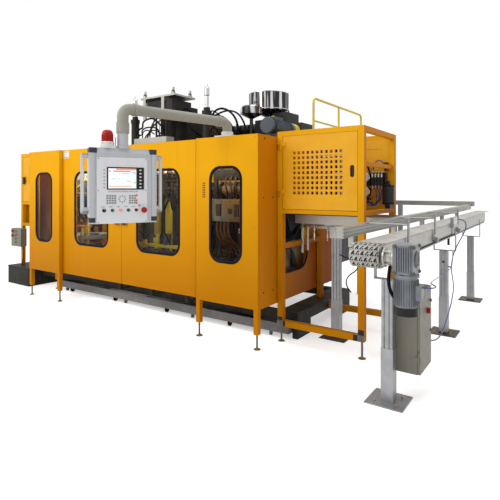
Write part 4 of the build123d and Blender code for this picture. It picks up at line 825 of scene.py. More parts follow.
BEACON_X = -127
beacon = Piece("beacon_lens", "operator_panel", "red_plastic", PANEL)
beacon.use("white_plastic").lathe(
    (BEACON_X, 1905.2, 0), (0, 1, 0),
    ((55, 0), (56, 3), (56, 30), (54, 32), (54, 52), (51, 56), (46, 58)), 40)
beacon.block(BEACON_X + 20, BEACON_X + 66, 1906, 1926, -14, 46, 3)
beacon.use("red_plastic")
RIBS = 36
beacon.lathe(
    (BEACON_X, 1905.2, 0), (0, 1, 0),
    (
        (49.5, 57), (49.5, 63), (46.5, 65), (46.5, 112), (45.5, 124), (41, 139), (32, 150),
        (18, 156), (0, 157.8)),
    40)
for x, z in ring(RIBS, 46.6, (BEACON_X, 0)):
    beacon.rod((x, 1970, z), (x, 2018, z), 1.6, 0.5, 6)
for level in (1972, 1994, 2016):
    beacon.lathe((BEACON_X, level, 0), (0, 1, 0), ((46.4, -1.5), (48.2, 0), (46.4, 1.5)), 40)
beacon.use("dull_steel")
for turn in (0.4, 1.3, 2.5):
    beacon.screw(
        (BEACON_X + 55 * math.cos(turn), 1945, 55 * math.sin(turn)),
        (math.cos(turn), 0, math.sin(turn)), 3.5)
beacon.done("warning_beacon")

# Polished hopper: a painted reflection of the dark hall, in upright bands

HOPPER = (-1008, 1800)
mirror_paint = Finish("hopper_painted_reflection")
across, along = (mirror_paint.part(mirror_paint.place, axis) for axis in "XY")
angle = mirror_paint.math(
    "ARCTAN2", mirror_paint.math("SUBTRACT", along, FRONT + HOPPER[1] * MM),
    mirror_paint.math("SUBTRACT", across, RIGHT + HOPPER[0] * MM))
round_hopper = mirror_paint.add("ShaderNodeCombineXYZ")
mirror_paint.link(mirror_paint.math("MULTIPLY", angle, 2.3), round_hopper.inputs["X"])
mirror_paint.link(mirror_paint.math("MULTIPLY", mirror_paint.height(), 0.25), round_hopper.inputs["Y"])
reflection_bands = mirror_paint.noise(2.6, 3, 0.6, round_hopper.outputs["Vector"])
warm_reflection_bands = mirror_paint.noise(1.4, 2, 0.5, round_hopper.outputs["Vector"])
# Painted reflection: dark and bright bands in the steel's colour stand for the mirrored hall.
tone = mirror_paint.mix(mirror_paint.ramp(reflection_bands, 0.53, 0.6), (0.035, 0.034, 0.036), (0.66, 0.66, 0.68))
# Painted reflection: warm brown bands.
tone = mirror_paint.mix(mirror_paint.ramp(warm_reflection_bands, 0.55, 0.62, 0.0, 0.6), tone, (0.09, 0.06, 0.03))
mirror_paint.color(tone)
mirror_paint.rough(mirror_paint.ramp(mirror_paint.noise(30, 3), 0.2, 0.8, 0.14, 0.26))
mirror_paint.set(Metallic=1.0)
dress("hoppers", mirror_paint.material)

# Fittings on top: hopper bands, motor cover, guard, clamps and bolts

top = Piece("top_fittings", "machine", "black_steel")
top.use("bright_steel")
for z in (2666, 2894):
    top.lathe((*HOPPER, z), (0, 0, 1), ((284.3, 0), (288, 1), (288, 9), (284.3, 10)), 56)
top.use("black_steel")
for x, y in ring(18, 285, HOPPER):
    top.block(x - 7, x + 7, y - 7, y + 7, 2640, 2664, 2)
top.use("dull_steel").block(
    HOPPER[0] - 60, HOPPER[0] - 20, HOPPER[1] - 296, HOPPER[1] - 282, 2740, 2770, 2)
top.use("lemon_paint").lathe(
    (-500, 1505, 2330), (0, 1, 0), ((85, 0), (88.5, 3), (88.5, 118), (85, 121)), 40)
top.use("blue_grey_paint").lathe(
    (-500, 950, 2330), (0, -1, 0), ((96.2, -26), (97, -20), (97, 2), (92, 5), (80, 6), (0, 6)), 40)
top.use("grey_paint")
for x, z in ring(4, 78, (-500, 2330), math.pi / 4):
    top.screw((x, 944, z), (0, -1, 0), 5)
top.use("lemon_paint").block(-523, -487, 1092, 1112, 2452, 2462, 2)
top.use("black_steel")
for y in (1020, 1400):
    top.lathe((-500, y, 2330), (0, 1, 0), ((97, 0), (97, 12), (88, 12)), 40)
top.use("brass")
for x in (-1313, -2663):
    top.lathe((x, 800, 2600.2), (0, 0, 1), ((42, 0), (42, 4), (34, 7), (24.6, 7)), 28)
top.use("dull_steel")
for x in (-2663, -1313):
    for dx, dy in ((-66, -66), (66, -66), (66, 66), (-66, 66)):
        top.nut((x + dx, 800 + dy, 2120.3), (0, 0, 1), 11)
    for bolt_x, bolt_y in ring(6, 53, (x, 800)):
        top.screw((bolt_x, bolt_y, 2560.2), (0, 0, 1), 5)
top.use("grey_paint")
for x in (-2200, -2080, -1900, -1780):
    for z in (2580, 2700):
        top.screw((x, 619.8, z), (0, -1, 0), 9)
top.use("dull_steel")
for x, y in ((-2288, 650), (-2218, 950), (-1758, 650), (-1738, 950)):
    top.nut((x, y, 2831), (0, 0, 1), 24)
    top.lathe((x, y, 2842), (0, 0, 1), ((17.2, 0), (19, 6), (19, 14), (17.2, 18)), 20)
for n in range(5):
    x = -1870 + 142 * n
    top.block(x, x + 12, 1790, 1810, 2505, 2530, 2)
top.done()

# Black hoses and cables of the die head and the extruder, seen over the doors

cluster = Piece("head_hoses", "machine", "rubber")
cluster.use("rubber")
runs = (
    (
        11, (-2900, 1200, 2130), (-2860, 1180, 2300), (-2620, 1090, 2500), (-2330, 980, 2560),
        (-2230, 960, 2560)),
    (
        10, (-2980, 1200, 2130), (-2930, 1160, 2260), (-2700, 1060, 2390), (-2400, 940, 2440),
        (-2180, 900, 2300)),
    (
        9, (-2780, 1200, 2130), (-2720, 1120, 2330), (-2560, 1020, 2530), (-2300, 930, 2590),
        (-2225, 900, 2590)),
    (
        12, (-1745, 720, 2600), (-1690, 700, 2560), (-1560, 720, 2380), (-1500, 860, 2260),
        (-1500, 1160, 2200)),
    (
        12, (-1745, 860, 2640), (-1640, 850, 2620), (-1480, 880, 2440), (-1420, 980, 2280),
        (-1420, 1160, 2200)),
    (
        10, (-1745, 930, 2580), (-1600, 980, 2540), (-1400, 1060, 2400), (-1330, 1120, 2260),
        (-1320, 1160, 2200)),
    (
        10, (-1880, 1100, 2600), (-1760, 1080, 2600), (-1560, 1120, 2480), (-1530, 1180, 2300),
        (-1530, 1200, 2215)),
    (
        14, (-1780, 1300, 2560), (-1640, 1300, 2620), (-1420, 1330, 2560), (-1300, 1380, 2380),
        (-1290, 1400, 2215)),
    (
        13, (-1800, 1420, 2560), (-1600, 1440, 2680), (-1330, 1460, 2660), (-1200, 1480, 2480),
        (-1190, 1480, 2330), (-1190, 1480, 2212)),
    (
        9, (-1250, 820, 2560), (-1180, 840, 2540), (-1090, 960, 2380), (-1090, 1100, 2260),
        (-1090, 1190, 2215)),
    (
        9, (-1250, 800, 2330), (-1180, 800, 2330), (-1100, 900, 2290), (-1040, 1080, 2240),
        (-1010, 1180, 2215)),
    (
        8, (-2100, 640, 2300), (-2130, 560, 2360), (-2230, 540, 2330), (-2300, 620, 2200),
        (-2310, 700, 2120)),)
for radius, *points in runs:
    cluster.tube(radius, *points)
cluster.use("brown_hose")
for shift in range(6):
    x = -1640 + 52 * shift
    cluster.tube(
        11, (x, 1162, 2212), (x, 1150, 2330), (x + 40, 1250, 2400 + 12 * shift),
        (x + 30, 1420, 2330), (x + 30, 1500, 2212))
cluster.use("black_steel").blocks(
    (-1700, -1400, 1185, 1290, 2186.2, 2310, 6), (-1660, -1560, 1196, 1280, 2310, 2365, 6),
    (-1380, -1180, 1200, 1290, 2186.2, 2270, 6))
cluster.use("dull_steel")
for x in (-1620, -1530, -1440, -1340, -1250):
    cluster.rod((x, 1172, 2190), (x, 1172, 2262), 13)
    cluster.nut((x, 1172, 2262), (0, 0, 1), 17)
    cluster.rod((x, 1184, 2230), (x, 1150, 2230), 9)
cluster.use("white_plastic")
for x in (-1590, -1475, -1300):
    cluster.block(x, x + 26, 1150, 1184, 2188, 2216, 3)
cluster.use("lemon_paint").rod((-2054, 690, 2200.2), (-2054, 690, 2539.8), 5)
cluster.use("black_steel")
for z in (2210, 2310, 2412):
    for x in (-2104, -2005, -1918):
        cluster.lathe((x, 680, z), (0, 0, 1), ((12.1, 0), (16, 2), (16, 14), (12.1, 16)), 18)
cluster.done()

# What the windows show inside

inside = Piece("inside_left", "machine", "blue_grey_paint")
inside.use("black_paint")
for x in (-3960, -3460):
    for y in (620, 760):
        inside.block(x, x + 40, y, y + 40, 268.4, 1790, 3)
for z in (640, 980, 1250, 1760):
    inside.blocks(
        (-3960, -3420, 620, 660, z, z + 30, 3), (-3960, -3420, 760, 800, z, z + 30, 3),
        (-3920, -3460, 660, 760, z + 4, z + 26, 3))
inside.use("light_grey_paint").block(-3940, -3330, 600, 618, 1480, 1790, 4)
inside.use("blue_grey_paint").block(-3900, -3380, 590, 600, 1520, 1700, 3)
inside.use("blue_paint").blocks(
    (-3930, -3240, 460, 616, 640, 900, 8), (-3700, -3380, 480, 610, 1290, 1460, 8))
inside.use("card_brown")
for z in (1030, 1110, 1190, 1290, 1360):
    inside.block(-3940, -3330, 560, 618, z, z + 34, 4)
inside.use("white_plastic")
for n, (x, z) in enumerate(
        ((-3860, 1064), (-3640, 1064), (-3450, 1144), (-3760, 1224), (-3560, 1224), (-3400, 1064))):
    inside.block(x, x + 90, 566, 612, z, z + 40, 4)
inside.use("light_grey_paint").lathe(
    (-3240, 420, 846), (0, 0, 1),
    ((0, 0), (236, 0), (262, 18), (272, 66), (264, 66), (250, 20), (0, 12)), 48)
inside.use("orange_paint").blocks(
    (-3560, -3020, 176, 640, 790, 802, 3), (-3860, -3330, 470, 556, 990, 1018, 4))
inside.use("black_paint").blocks(
    (-3500, -3470, 200, 230, 541, 790, 3), (-3060, -3030, 200, 230, 541, 790, 3),
    (-3500, -3030, 196, 236, 500, 541, 3))
for x in (-3500, -3070):
    inside.block(x, x + 40, 196, 560, 460, 500, 3)
inside.use("lemon_paint").rod((-3070, 300, 802), (-3070, 300, 1130), 22)
inside.rod((-3130, 250, 802), (-3130, 250, 1010), 16)
inside.block(-3110, -3020, 262, 282, 930, 1010, 4)
inside.rod((-3830, 440, 1400), (-3300, 440, 1700), 18)
inside.block(-3940, -3880, 470, 560, 1500, 1740, 4)
inside.use("dull_steel").lathe(
    (-3070, 300, 1130), (0, 0, 1), ((30, 0), (30, 40), (18, 50), (0, 50)), 20)
inside.block(-3940, -3900, 430, 470, 1380, 1420, 4)
inside.use("rubber")
for n in range(5):
    x = -3780 + 110 * n
    inside.tube(
        9, (x, 600, 1480), (x - 20, 480, 1420), (x + 60, 440, 1250), (x + 30, 520, 1130),
        (x + 10, 590, 1040))
inside.done()

valves = Piece("inside_valves", "machine", "black_steel")
random.seed(7)
valves.use("black_paint").block(-2140, -1120, 236, 262, 1500, 1800, 4)
for x in (-2100, -1640, -1180):
    valves.block(x, x + 36, 236, 262, 1800, 2049, 3)
valves.block(-2120, -1140, 170, 262, 2040, 2049.5, 2)
valves.use("card_brown")
for row in range(6):
    for column in range(17):
        x = -2110 + 58 * column + (row % 2) * 20
        z = 1524 + 46 * row
        depth = random.uniform(26, 56)
        valves.use(
            "white_plastic" if row == 5 and column % 2 else "card_brown" if random.random() < 0.75
            else "dull_steel")
        valves.lathe(
            (x, 236, z), (0, -1, 0),
            ((20, 0), (20, depth - 6), (14, depth), (8, depth), (8, depth - 9), (0, depth - 9)), 12)
valves.use("brown_hose")
for n in range(12):
    x = -2090 + 84 * n
    drop = random.uniform(60, 150)
    valves.tube(
        9, (x, 205, 1520), (x + 10, 190, 1470), (x + random.uniform(-30, 50), 196, 1500 - drop),
        (x + 70, 205, 1470), (x + 74, 212, 1520))
valves.use("rubber")
for n in range(6):
    x = -2040 + 160 * n
    valves.tube(
        12, (x, 240, 1510), (x + 5, 230, 1440), (x + 60, 222, 1330 - 14 * n), (x + 130, 228, 1420),
        (x + 140, 240, 1510))
valves.done()

lower = Piece("inside_front_pipes", "machine", "lemon_paint")
lower.use("black_paint").block(-2300, -1080, 190, 240, 470, 510, 4)
for x in (-2280, -1700, -1120):
    lower.blocks((x, x + 40, 190, 240, 268.4, 470, 3), (x, x + 40, 240, 504, 269, 300, 3))
lower.use("lemon_paint")
for x, high in ((-2060, 1000), (-1840, 940), (-1620, 1010), (-1180, 1100)):
    lower.blocks(
        (x, x + 46, 200, 236, 510, high, 5), (x - 20, x + 66, 186, 200, high - 90, high - 30, 4))
lower.block(-2060, -1130, 204, 232, 860, 900, 5)
lower.use("dull_steel").lathe(
    (-1457, 244, 952), (0, -1, 0),
    ((66, 0), (66, 30), (60, 40), (48, 42), (44, 30), (30, 30), (28, 46), (12, 48), (0, 48)), 28)
for x, z in ring(8, 54, (-1457, 952)):
    lower.screw((x, 203, z), (0, -1, 0), 6)
lower.rod((-1457, 240, 900), (-1457, 240, 510), 26)
lower.block(-1530, -1390, 236, 250, 880, 1030, 4)
lower.use("grey_paint").blocks(
    (-1960, -1880, 196, 240, 510, 760, 6), (-1360, -1230, 190, 240, 510, 720, 6))
lower.use("brown_hose")
for n in range(5):
    x = -2020 + 190 * n
    lower.tube(
        11, (x, 214, 760), (x + 10, 190, 820), (x + 70, 176, 850), (x + 130, 190, 800),
        (x + 140, 214, 740))
lower.use("rubber")
for n in range(4):
    x = -1960 + 210 * n
    lower.tube(
        9, (x, 220, 900), (x + 10, 180, 980), (x + 90, 172, 1060), (x + 150, 190, 980),
        (x + 160, 220, 900))
lower.done()

nest = Piece("inside_trimming_nest", "machine", "steel")
nest.use("black_paint")
for x in (-930, -460):
    for y in (500, 1060):
        nest.block(x, x + 60, y, y + 60, 274.5, 1189, 4)
nest.blocks((-940, -390, 470, 1140, 700, 760, 6), (-900, -430, 520, 1100, 330, 690, 8))
nest.use("upright_aluminium").blocks(
    (-970, -380, 452, 470, 1190, 1445, 3), (-970, -380, 470, 1150, 1190, 1210, 3),
    (-970, -380, 470, 1150, 1425, 1445, 3))
nest.use("dull_steel")
for x in (-930, -800, -675, -550, -420):
    for z in (1215, 1420):
        nest.screw((x, 452, z), (0, -1, 0), 7)
for x in (-880, -620, -500):
    nest.block(x, x + 70, 440, 452, 1250, 1390, 3)
nest.block(-700, -655, 438, 452, 1280, 1340, 3)
nest.use("card_brown").rod((-960, 620, 1560), (-390, 620, 1560), 82)
nest.use("black_paint")
for x in (-900, -690, -450):
    nest.lathe((x, 620, 1560), (1, 0, 0), ((84, 0), (92, 2), (92, 38), (84, 40)), 28)
    nest.block(x, x + 40, 600, 640, 1445, 1480, 3)
nest.block(-960, -390, 500, 540, 1660, 1790, 6)
for x in (-950, -430):
    nest.block(x, x + 40, 500, 540, 1445, 1660, 3)
nest.use("copper_hose")
for n in range(4):
    x = -870 + 55 * n
    nest.tube(
        12, (x, 470, 1185), (x, 440, 1120), (x + 60, 400, 1010), (x + 130, 420, 940),
        (x + 150, 480, 860), (x + 150, 515, 780))
nest.use("brown_hose")
for n in range(4):
    x = -760 + 70 * n
    nest.tube(
        11, (x, 500, 1700), (x + 10, 440, 1640), (x + 60, 430, 1540), (x + 30, 460, 1470),
        (x + 20, 480, 1446))
nest.use("white_plastic")
for x, z in ring(7, 36, (-520, 1092)):
    nest.rod((x, 520, z), (x, 455, z), 10)
nest.use("dull_steel").lathe(
    (-520, 500, 1092), (0, -1, 0), ((62, 0), (62, 20), (50, 26), (0, 26)), 28)
nest.block(-560, -480, 500, 560, 760, 1060, 5)
nest.done()


# Node finishes that change with the place: dark parts proud of an amber sheet, stained feet

def two_part(node, name, axis, low, high, first, second, rough, metallic=0.0, spared=None):
    """Gives a node a finish that passes from one pair of colours to another along an axis."""
    finish = Finish(name)
    clouds = finish.ramp(finish.noise(5, 5, 0.6), 0.35, 0.7)
    streaks = finish.ramp(
        finish.noise(3, 5, 0.6, finish.stretched((6, 6, 0.7))), 0.5, 0.8, 0.0, 0.5)
    share = finish.ramp(finish.part(finish.place, axis), low, high)
    if spared:
        share = finish.math("MAXIMUM", share, finish.ramp(finish.part(finish.place, "Y"), *spared))
    one = finish.mix(clouds, *first)
    two = finish.mix(clouds, *second)
    tone = finish.mix(share, one, two)
    finish.color(finish.mix(streaks, tone, finish.mix(share, first[1], second[1])))
    chips = finish.ramp(finish.noise(60, 4, 0.7), 0.5, 0.62, 0.0, 0.6)
    finish.rough(finish.ramp(finish.noise(20, 4), 0.2, 0.8, rough - 0.06, rough + 0.12))
    finish.bump(finish.math("ADD", finish.noise(240, 2), chips), 0.12, 0.0005)
    finish.set(Metallic=metallic, Specular_IOR_Level=0.25)
    dress(node, finish.material)


BOARD_FACE = FRONT + 1.2552
GRILLE_DOOR_BACK = FRONT + 0.37603
LEFT_DOOR_HANDLE = FRONT + 0.44
FAN_COVER_TOP = 0.8355
FOOT_PLATE_TOP = 0.012
PAD_TOP = 0.02
amber_pair = (AMBER, AMBER_WARM)
black_pair = ((0.02, 0.02, 0.02), (0.012, 0.012, 0.012))
two_part(
    "unit_board", "board_parts", "Y", BOARD_FACE, BOARD_FACE + 0.0004,
    ((0.03, 0.031, 0.034), (0.012, 0.012, 0.013)), amber_pair, 0.38)
two_part(
    "unit_door", "unit_door_paint", "Y", GRILLE_DOOR_BACK, GRILLE_DOOR_BACK + 0.00005, amber_pair,
    black_pair, 0.38)
two_part(
    "left_door", "left_door_paint", "Y", LEFT_DOOR_HANDLE, LEFT_DOOR_HANDLE + 0.0005, black_pair,
    amber_pair, 0.38)
two_part(
    "gear_motor", "motor_cast", "Z", FAN_COVER_TOP, FAN_COVER_TOP + 0.001,
    ((0.012, 0.012, 0.013), (0.02, 0.02, 0.02)), ((0.235, 0.25, 0.275), (0.13, 0.137, 0.15)), 0.33,
    0.35)
two_part(
    "conveyor_legs", "leg_profile", "Z", FOOT_PLATE_TOP, FOOT_PLATE_TOP + 0.004,
    ((0.115, 0.08, 0.05), (0.055, 0.045, 0.035)), ((0.37, 0.375, 0.39), (0.27, 0.275, 0.29)), 0.42,
    0.75, (FRONT + 0.1, FRONT - 0.1))
two_part(
    "levelling_feet", "foot_steel", "Z", PAD_TOP, PAD_TOP + 0.006,
    ((0.3, 0.2, 0.07), (0.16, 0.11, 0.05)), ((0.15, 0.145, 0.14), (0.08, 0.075, 0.07)), 0.42, 0.7)

# End panel: opening's seal, what shows inside it, and its screws

end = Piece("end_panel_trim", "machine", "rubber")
place = Matrix.Translation((0, 715, 985)) @ FACING_RIGHT
section = ((-8, 0), (-9, 3), (-6, 7), (4, 8), (8, 5), (8, -6), (1, -6), (0.5, 0))
end.use("rubber").loops(
    [
        [(x, y, out) for x, y in rounded(630 - 2 * inset, 630 - 2 * inset, 180 - inset)]
        for inset, out in section],
    place, closed=True)
end.use("chevron_black")
for y, z in (
        (100, 1478), (274, 1478), (118, 2062), (640, 2062), (1180, 2062), (100, 542), (1180, 1478),
        (1700, 1478), (274, 542), (1700, 2062)):
    end.screw((0, y, z), (1, 0, 0), 9)
end.block(-0.5, 0.7, 1488, 1491, 420, 2096, 0.2)
# The brown sheet behind the opening is painted shade: it stands for the dim inside.
end.use("card_brown").block(-96, -84, 330, 1100, 600, 1370, 3)
end.use("chevron_black").block(-84, -70, 360, 1070, 980, 1340, 3)
for n in range(5):
    end.tube(
        9, (-62, 430 + 26 * n, 690), (-40, 470 + 20 * n, 860 + 12 * n), (-34, 620, 930 + 22 * n),
        (-40, 790 - 18 * n, 880 + 14 * n), (-60, 880 - 20 * n, 690))
end.use("rubber")
for n in range(3):
    end.tube(
        13, (-66, 520 + 60 * n, 1290), (-44, 560 + 60 * n, 1130), (-30, 640 + 40 * n, 1040),
        (-40, 760 + 30 * n, 1000 + 20 * n), (-66, 930, 1060 + 40 * n))
end.done()

# Covers: seam beside the fixed panel, vent marks, black sheets of painted shade in the left
# opening, plain label plate

marks_and_shade = Piece("cover_marks_and_painted_shade", "machine", "black_plastic")
marks_and_shade.use("chevron_black").block(-792.5, -788.5, -0.6, 0.5, 392, 2098, 0.2)
for n in range(7):
    for x in (-690, -668):
        marks_and_shade.rod((x, 0, 1480 + 24 * n), (x, -0.9, 1480 + 24 * n), 8, 0.3, 12)
for n in range(12):
    marks_and_shade.block(-4872, -4858, 448.6, 450, 1650 + 25 * n, 1660 + 25 * n, 0.4)
# Black sheets in the left section's opening: painted shade where the opening shows dark.
marks_and_shade.use("rubber").blocks(
    (-5060, -4130, 1916, 1923, 1000, 1290, 2), (-4082, -4074, 520, 1900, 1000, 1290, 2))
marks_and_shade.use("dull_steel")
for x in (-30, -760, -3330, -4030):
    for z in (420, 1180, 2070):
        marks_and_shade.screw((x, 0, z), (0, -1, 0), 4)
marks_and_shade.done()

# Inner guard sheet behind the left fixed window, its amber darkened as painted shade.
guard = Piece("inside_guard", "machine", "amber_paint")
guard.use("amber_in_painted_shade").block(-4040, -3460, 150, 154, 770, 1830, 1)
guard.use("dull_steel").block(-3600, -3590, 144, 150, 1250, 1700, 1)
guard.done()

for body, x0, x1 in (("door_left", -2181, -2091), ("door_right", -2045, -1955)):
    grip = Piece(body + "_grip", body, "black_plastic")
    grip.use("black_plastic").blocks(
        (x0, x1, 34, 60.5, 1118, 1332, 7), (x0 + 14, x1 - 14, 33, 37, 1140, 1310, 1.5))
    grip.use("dull_steel")
    for z in (1129, 1321):
        grip.screw(((x0 + x1) / 2, 34, z), (0, -1, 0), 5)
    grip.done()

label = Piece("door_label", "door_left", "light_grey_paint")
label.use("white_plastic").block(-3292, -3160, 60.1, 60.9, 1985, 2085, 0.3)
label.use("grey_plastic").blocks(
    (-3284, -3168, 59.8, 60.3, 1994, 2000, 0.1), (-3284, -3168, 59.8, 60.3, 2070, 2076, 0.1))
label.done()

# Conveyor: slats with their gaps, flange, gearbox bolts, clamps, comb and tie

BELT_LEFT, BELT_RIGHT = 1269, 1465
NOSE_Y, NOSE_Z, NOSE_R, PITCH = -756, 1131, 74.0, 38.0


def along_belt(travel):
    """Place on the belt's face, at a distance back from the top of its nose or round it."""
    if travel >= 0:
        return NOSE_Y + travel, NOSE_Z + NOSE_R, 0.0
    turn = -travel / NOSE_R
    return NOSE_Y - NOSE_R * math.sin(turn), NOSE_Z + NOSE_R * math.cos(turn), turn


belt = Piece("belt_slats", "machine", "slat_plastic")
for n in range(-6, 140):
    y, z, turn = along_belt(PITCH * (n + 0.5))
    place = Matrix.Translation((0, y, z)) @ Matrix.Rotation(turn, 4, "X")
    belt.use("slat_plastic").block(BELT_LEFT + 1, BELT_RIGHT - 1, -17.3, 17.3, -1, 2.2, 0.9, place)
    if n > 1:
        continue
    belt.use("chevron_black")
    for column in range(6):
        middle = BELT_LEFT + 19 + 31.6 * column + (7 if n % 2 else -3)
        flip = 1 if (n + column) % 2 else -1
        outline = [
            (middle - 13, -9), (middle - 4, -15), (middle + flip * 4 + 3, 0), (middle + 13, 10),
            (middle + 5, 16), (middle - 5, 6)]
        belt.plate(outline, 2.0, 2.7, place, bevel=0)
        outline = [(middle + 3, -15), (middle + 14, -11), (middle + 11, -2), (middle + 2, -5)]
        belt.plate(outline, 2.0, 2.7, place, bevel=0)
belt.done()

bolt = ((13, -3), (13, 3), (11, 5), (7, 5), (7, 9), (5.6, 10.5), (0, 10.5))
drive = Piece("drive_trim", "machine", "bright_steel")
drive.use("aluminium").lathe(
    (1478, NOSE_Y, NOSE_Z), (1, 0, 0),
    (
        (47, 0), (62, 2), (63, 5), (63, 13), (60, 16), (50, 17), (47, 22), (46.6, 50), (54, 55),
        (56, 58), (56, 72), (50, 75)),
    36)
for y, z in ring(4, 55, (NOSE_Y, NOSE_Z), math.pi / 4):
    drive.nut((1494, y, z), (1, 0, 0), 9)
    drive.rod((1500, y, z), (1520, y, z), 4.5)
drive.use("dull_steel")
for x in (1567, 1666):
    for z in (1049, 1213):
        drive.lathe((x, -834, z), (0, -1, 0), bolt, 18)
for y in (-820, -692):
    for z in (1051, 1211):
        drive.lathe((1679, y, z), (1, 0, 0), bolt, 18)
drive.lathe(
    (1679, -756, NOSE_Z), (1, 0, 0), ((52, -2), (52, 4), (48, 6), (30, 6), (27, 3), (0, 3)), 32)
for y, z in ring(6, 40, (NOSE_Y, NOSE_Z)):
    drive.screw((1684.6, y, z), (1, 0, 0), 4.5)
drive.use("black_plastic").lathe(
    (1616, -756, 783), (0, 0, 1), ((40, -1), (60, 0), (71, 8), (71.5, 50), (69, 53), (66, 54)), 36)
drive.use("grey_plastic").block(1706, 1712, -788, -714, 890, 972, 3)
drive.use("dull_steel")
for y in (-781, -721):
    for z in (897, 965):
        drive.screw((1712, y, z), (1, 0, 0), 3.5)
drive.use("rubber").tube(
    11, (1512, -744, 1074), (1502, -748, 1010), (1508, -752, 940), (1530, -756, 890),
    (1550, -756, 872), sides=12)
drive.tube(
    5, (1480, -600, 1085), (1481, -100, 1082), (1480, 700, 1086), (1480, 1560, 1088), sides=8)
drive.use("white_plastic")
for y in (620, 1700):
    drive.blocks(
        (1468, 1506, y - 17, y + 17, 1108, 1142, 4), (1478, 1494, y - 26, y + 26, 1146, 1160, 3))
drive.block(1500, 1507, 1366, 1556, 1196, 1263, 3)
for n in range(9):
    drive.block(1501, 1513, 1372 + 21 * n, 1382 + 21 * n, 1170, 1194, 1.5)
drive.use("bright_steel")
for y in (1390, 1460, 1530):
    drive.rod((1507, y, 1246), (1513, y, 1246), 6)
drive.use("black_plastic").block(1404, 1426, 1560, 1584, 960, 1110, 4)
drive.lathe(
    (1424, 1590, 1085), (1, 0, 0),
    ((6, -4), (6, 12), (22, 14), (25, 20), (23, 30), (10, 34), (0, 34)), 20)
drive.lathe((1360, 1578, 765), (0, 0, 1), ((7, 0), (9, 4), (9, 16), (7, 20)), 12)
drive.use("brass")
for y in (-288, 1628, 3383):
    for dx, dy in ((-78, -78), (78, 78), (78, -78), (-78, 78)):
        drive.nut((1358 + dx, y + dy, 12.1), (0, 0, 1), 9)
drive.use("aluminium")
for y in (-300, 300, 900, 2200, 2900):
    drive.block(1467, 1473, y - 20, y + 20, 1150, 1190, 2)
drive.done()

case = Piece("cabinet_trim", "cabinet_door", "steel")
case.use("dull_steel").rod((1573.2, 60, 470), (1577, 60, 470), 12)
case.use("black_plastic").block(1575, 1580, 56, 64, 460, 480, 1)
case.done()

# Take-out unit: what hangs on its board and shows through its grille

unit = Piece("unit_fittings", "machine", "black_plastic")
for z in (1690, 1530):
    unit.use("bright_steel").lathe(
        (640, 1170, z), (0, -1, 0), ((49, -16), (50, -8), (50, 2), (46, 5), (42, 5)), 32)
    unit.use("white_plastic").lathe((640, 1166, z), (0, -1, 0), ((43, -1), (43, 0), (0, 0)), 32)
    unit.use("black_plastic").block(636, 644, 1163, 1165, z - 4, z + 34, 0.5)
unit.use("white_plastic")
for n in range(4):
    unit.block(706 + 34 * n, 722 + 34 * n, 1186, 1190.5, 1690, 1730, 1)
unit.use("bright_steel")
for n in range(4):
    unit.rod((714 + 34 * n, 1200, 1600), (714 + 34 * n, 1200, 1572), 7)
    unit.rod((714 + 34 * n, 1200, 1740), (714 + 34 * n, 1200, 1762), 7)
unit.use("orange_paint")
for n in range(2):
    unit.tube(
        6, (714 + 68 * n, 1200, 1575), (712 + 60 * n, 1180, 1500), (690 + 40 * n, 1190, 1460),
        (650 + 30 * n, 1220, 1480))
unit.use("blue_hose")
for n in range(2):
    unit.tube(
        6, (748 + 68 * n, 1200, 1575), (770 + 50 * n, 1150, 1500), (790 + 20 * n, 1140, 1420),
        (720, 1150, 1380 - 20 * n), (670, 1180, 1440))
unit.tube(
    6, (850, 1210, 1740), (860, 1190, 1820), (800, 1180, 1880), (740, 1200, 1860),
    (716, 1200, 1764))
unit.use("rubber").tube(
    9, (640, 1180, 1640), (600, 1160, 1600), (596, 1150, 1500), (640, 1160, 1420),
    (720, 1180, 1410))
unit.tube(9, (690, 1210, 1700), (670, 1190, 1800), (640, 1190, 1840), (560, 1230, 1850))
unit.use("rubber")
for z in (1410, 1590):
    unit.lathe((901, 1150, z), (0, 0, 1), ((62, -2), (64, 0), (64, 8), (62, 10)), 28)
unit.use("black_plastic").block(842, 870, 1190, 1254, 1760, 1850, 3)
unit.rod((901, 1150, 1616), (901, 1150, 1650), 18)
for z in (1480, 1960):
    for x in (18, 34):
        for level in (-24, 0, 24):
            unit.screw((x, 354, z + 28 + level), (0, -1, 0), 5)
unit.use("dull_steel")
for x0, x1 in ((7, 73), (868, 934)):
    unit.block(x0, x1, 350, 353.8, 162, 222, 1.5)
    unit.nut(((x0 + x1) / 2, 350, 176), (0, -1, 0), 8)
    unit.nut(((x0 + x1) / 2, 350, 208), (0, -1, 0), 8)
unit.use("black_plastic")
for x0, x1 in ((72, 100), (826, 868)):
    unit.block(x0, x1, 352.6, 353.8, 164, 218, 0.4)
unit.blocks((872, 930, 352.8, 353.8, 222, 270, 0.4), (12, 68, 352.8, 353.8, 222, 256, 0.4))
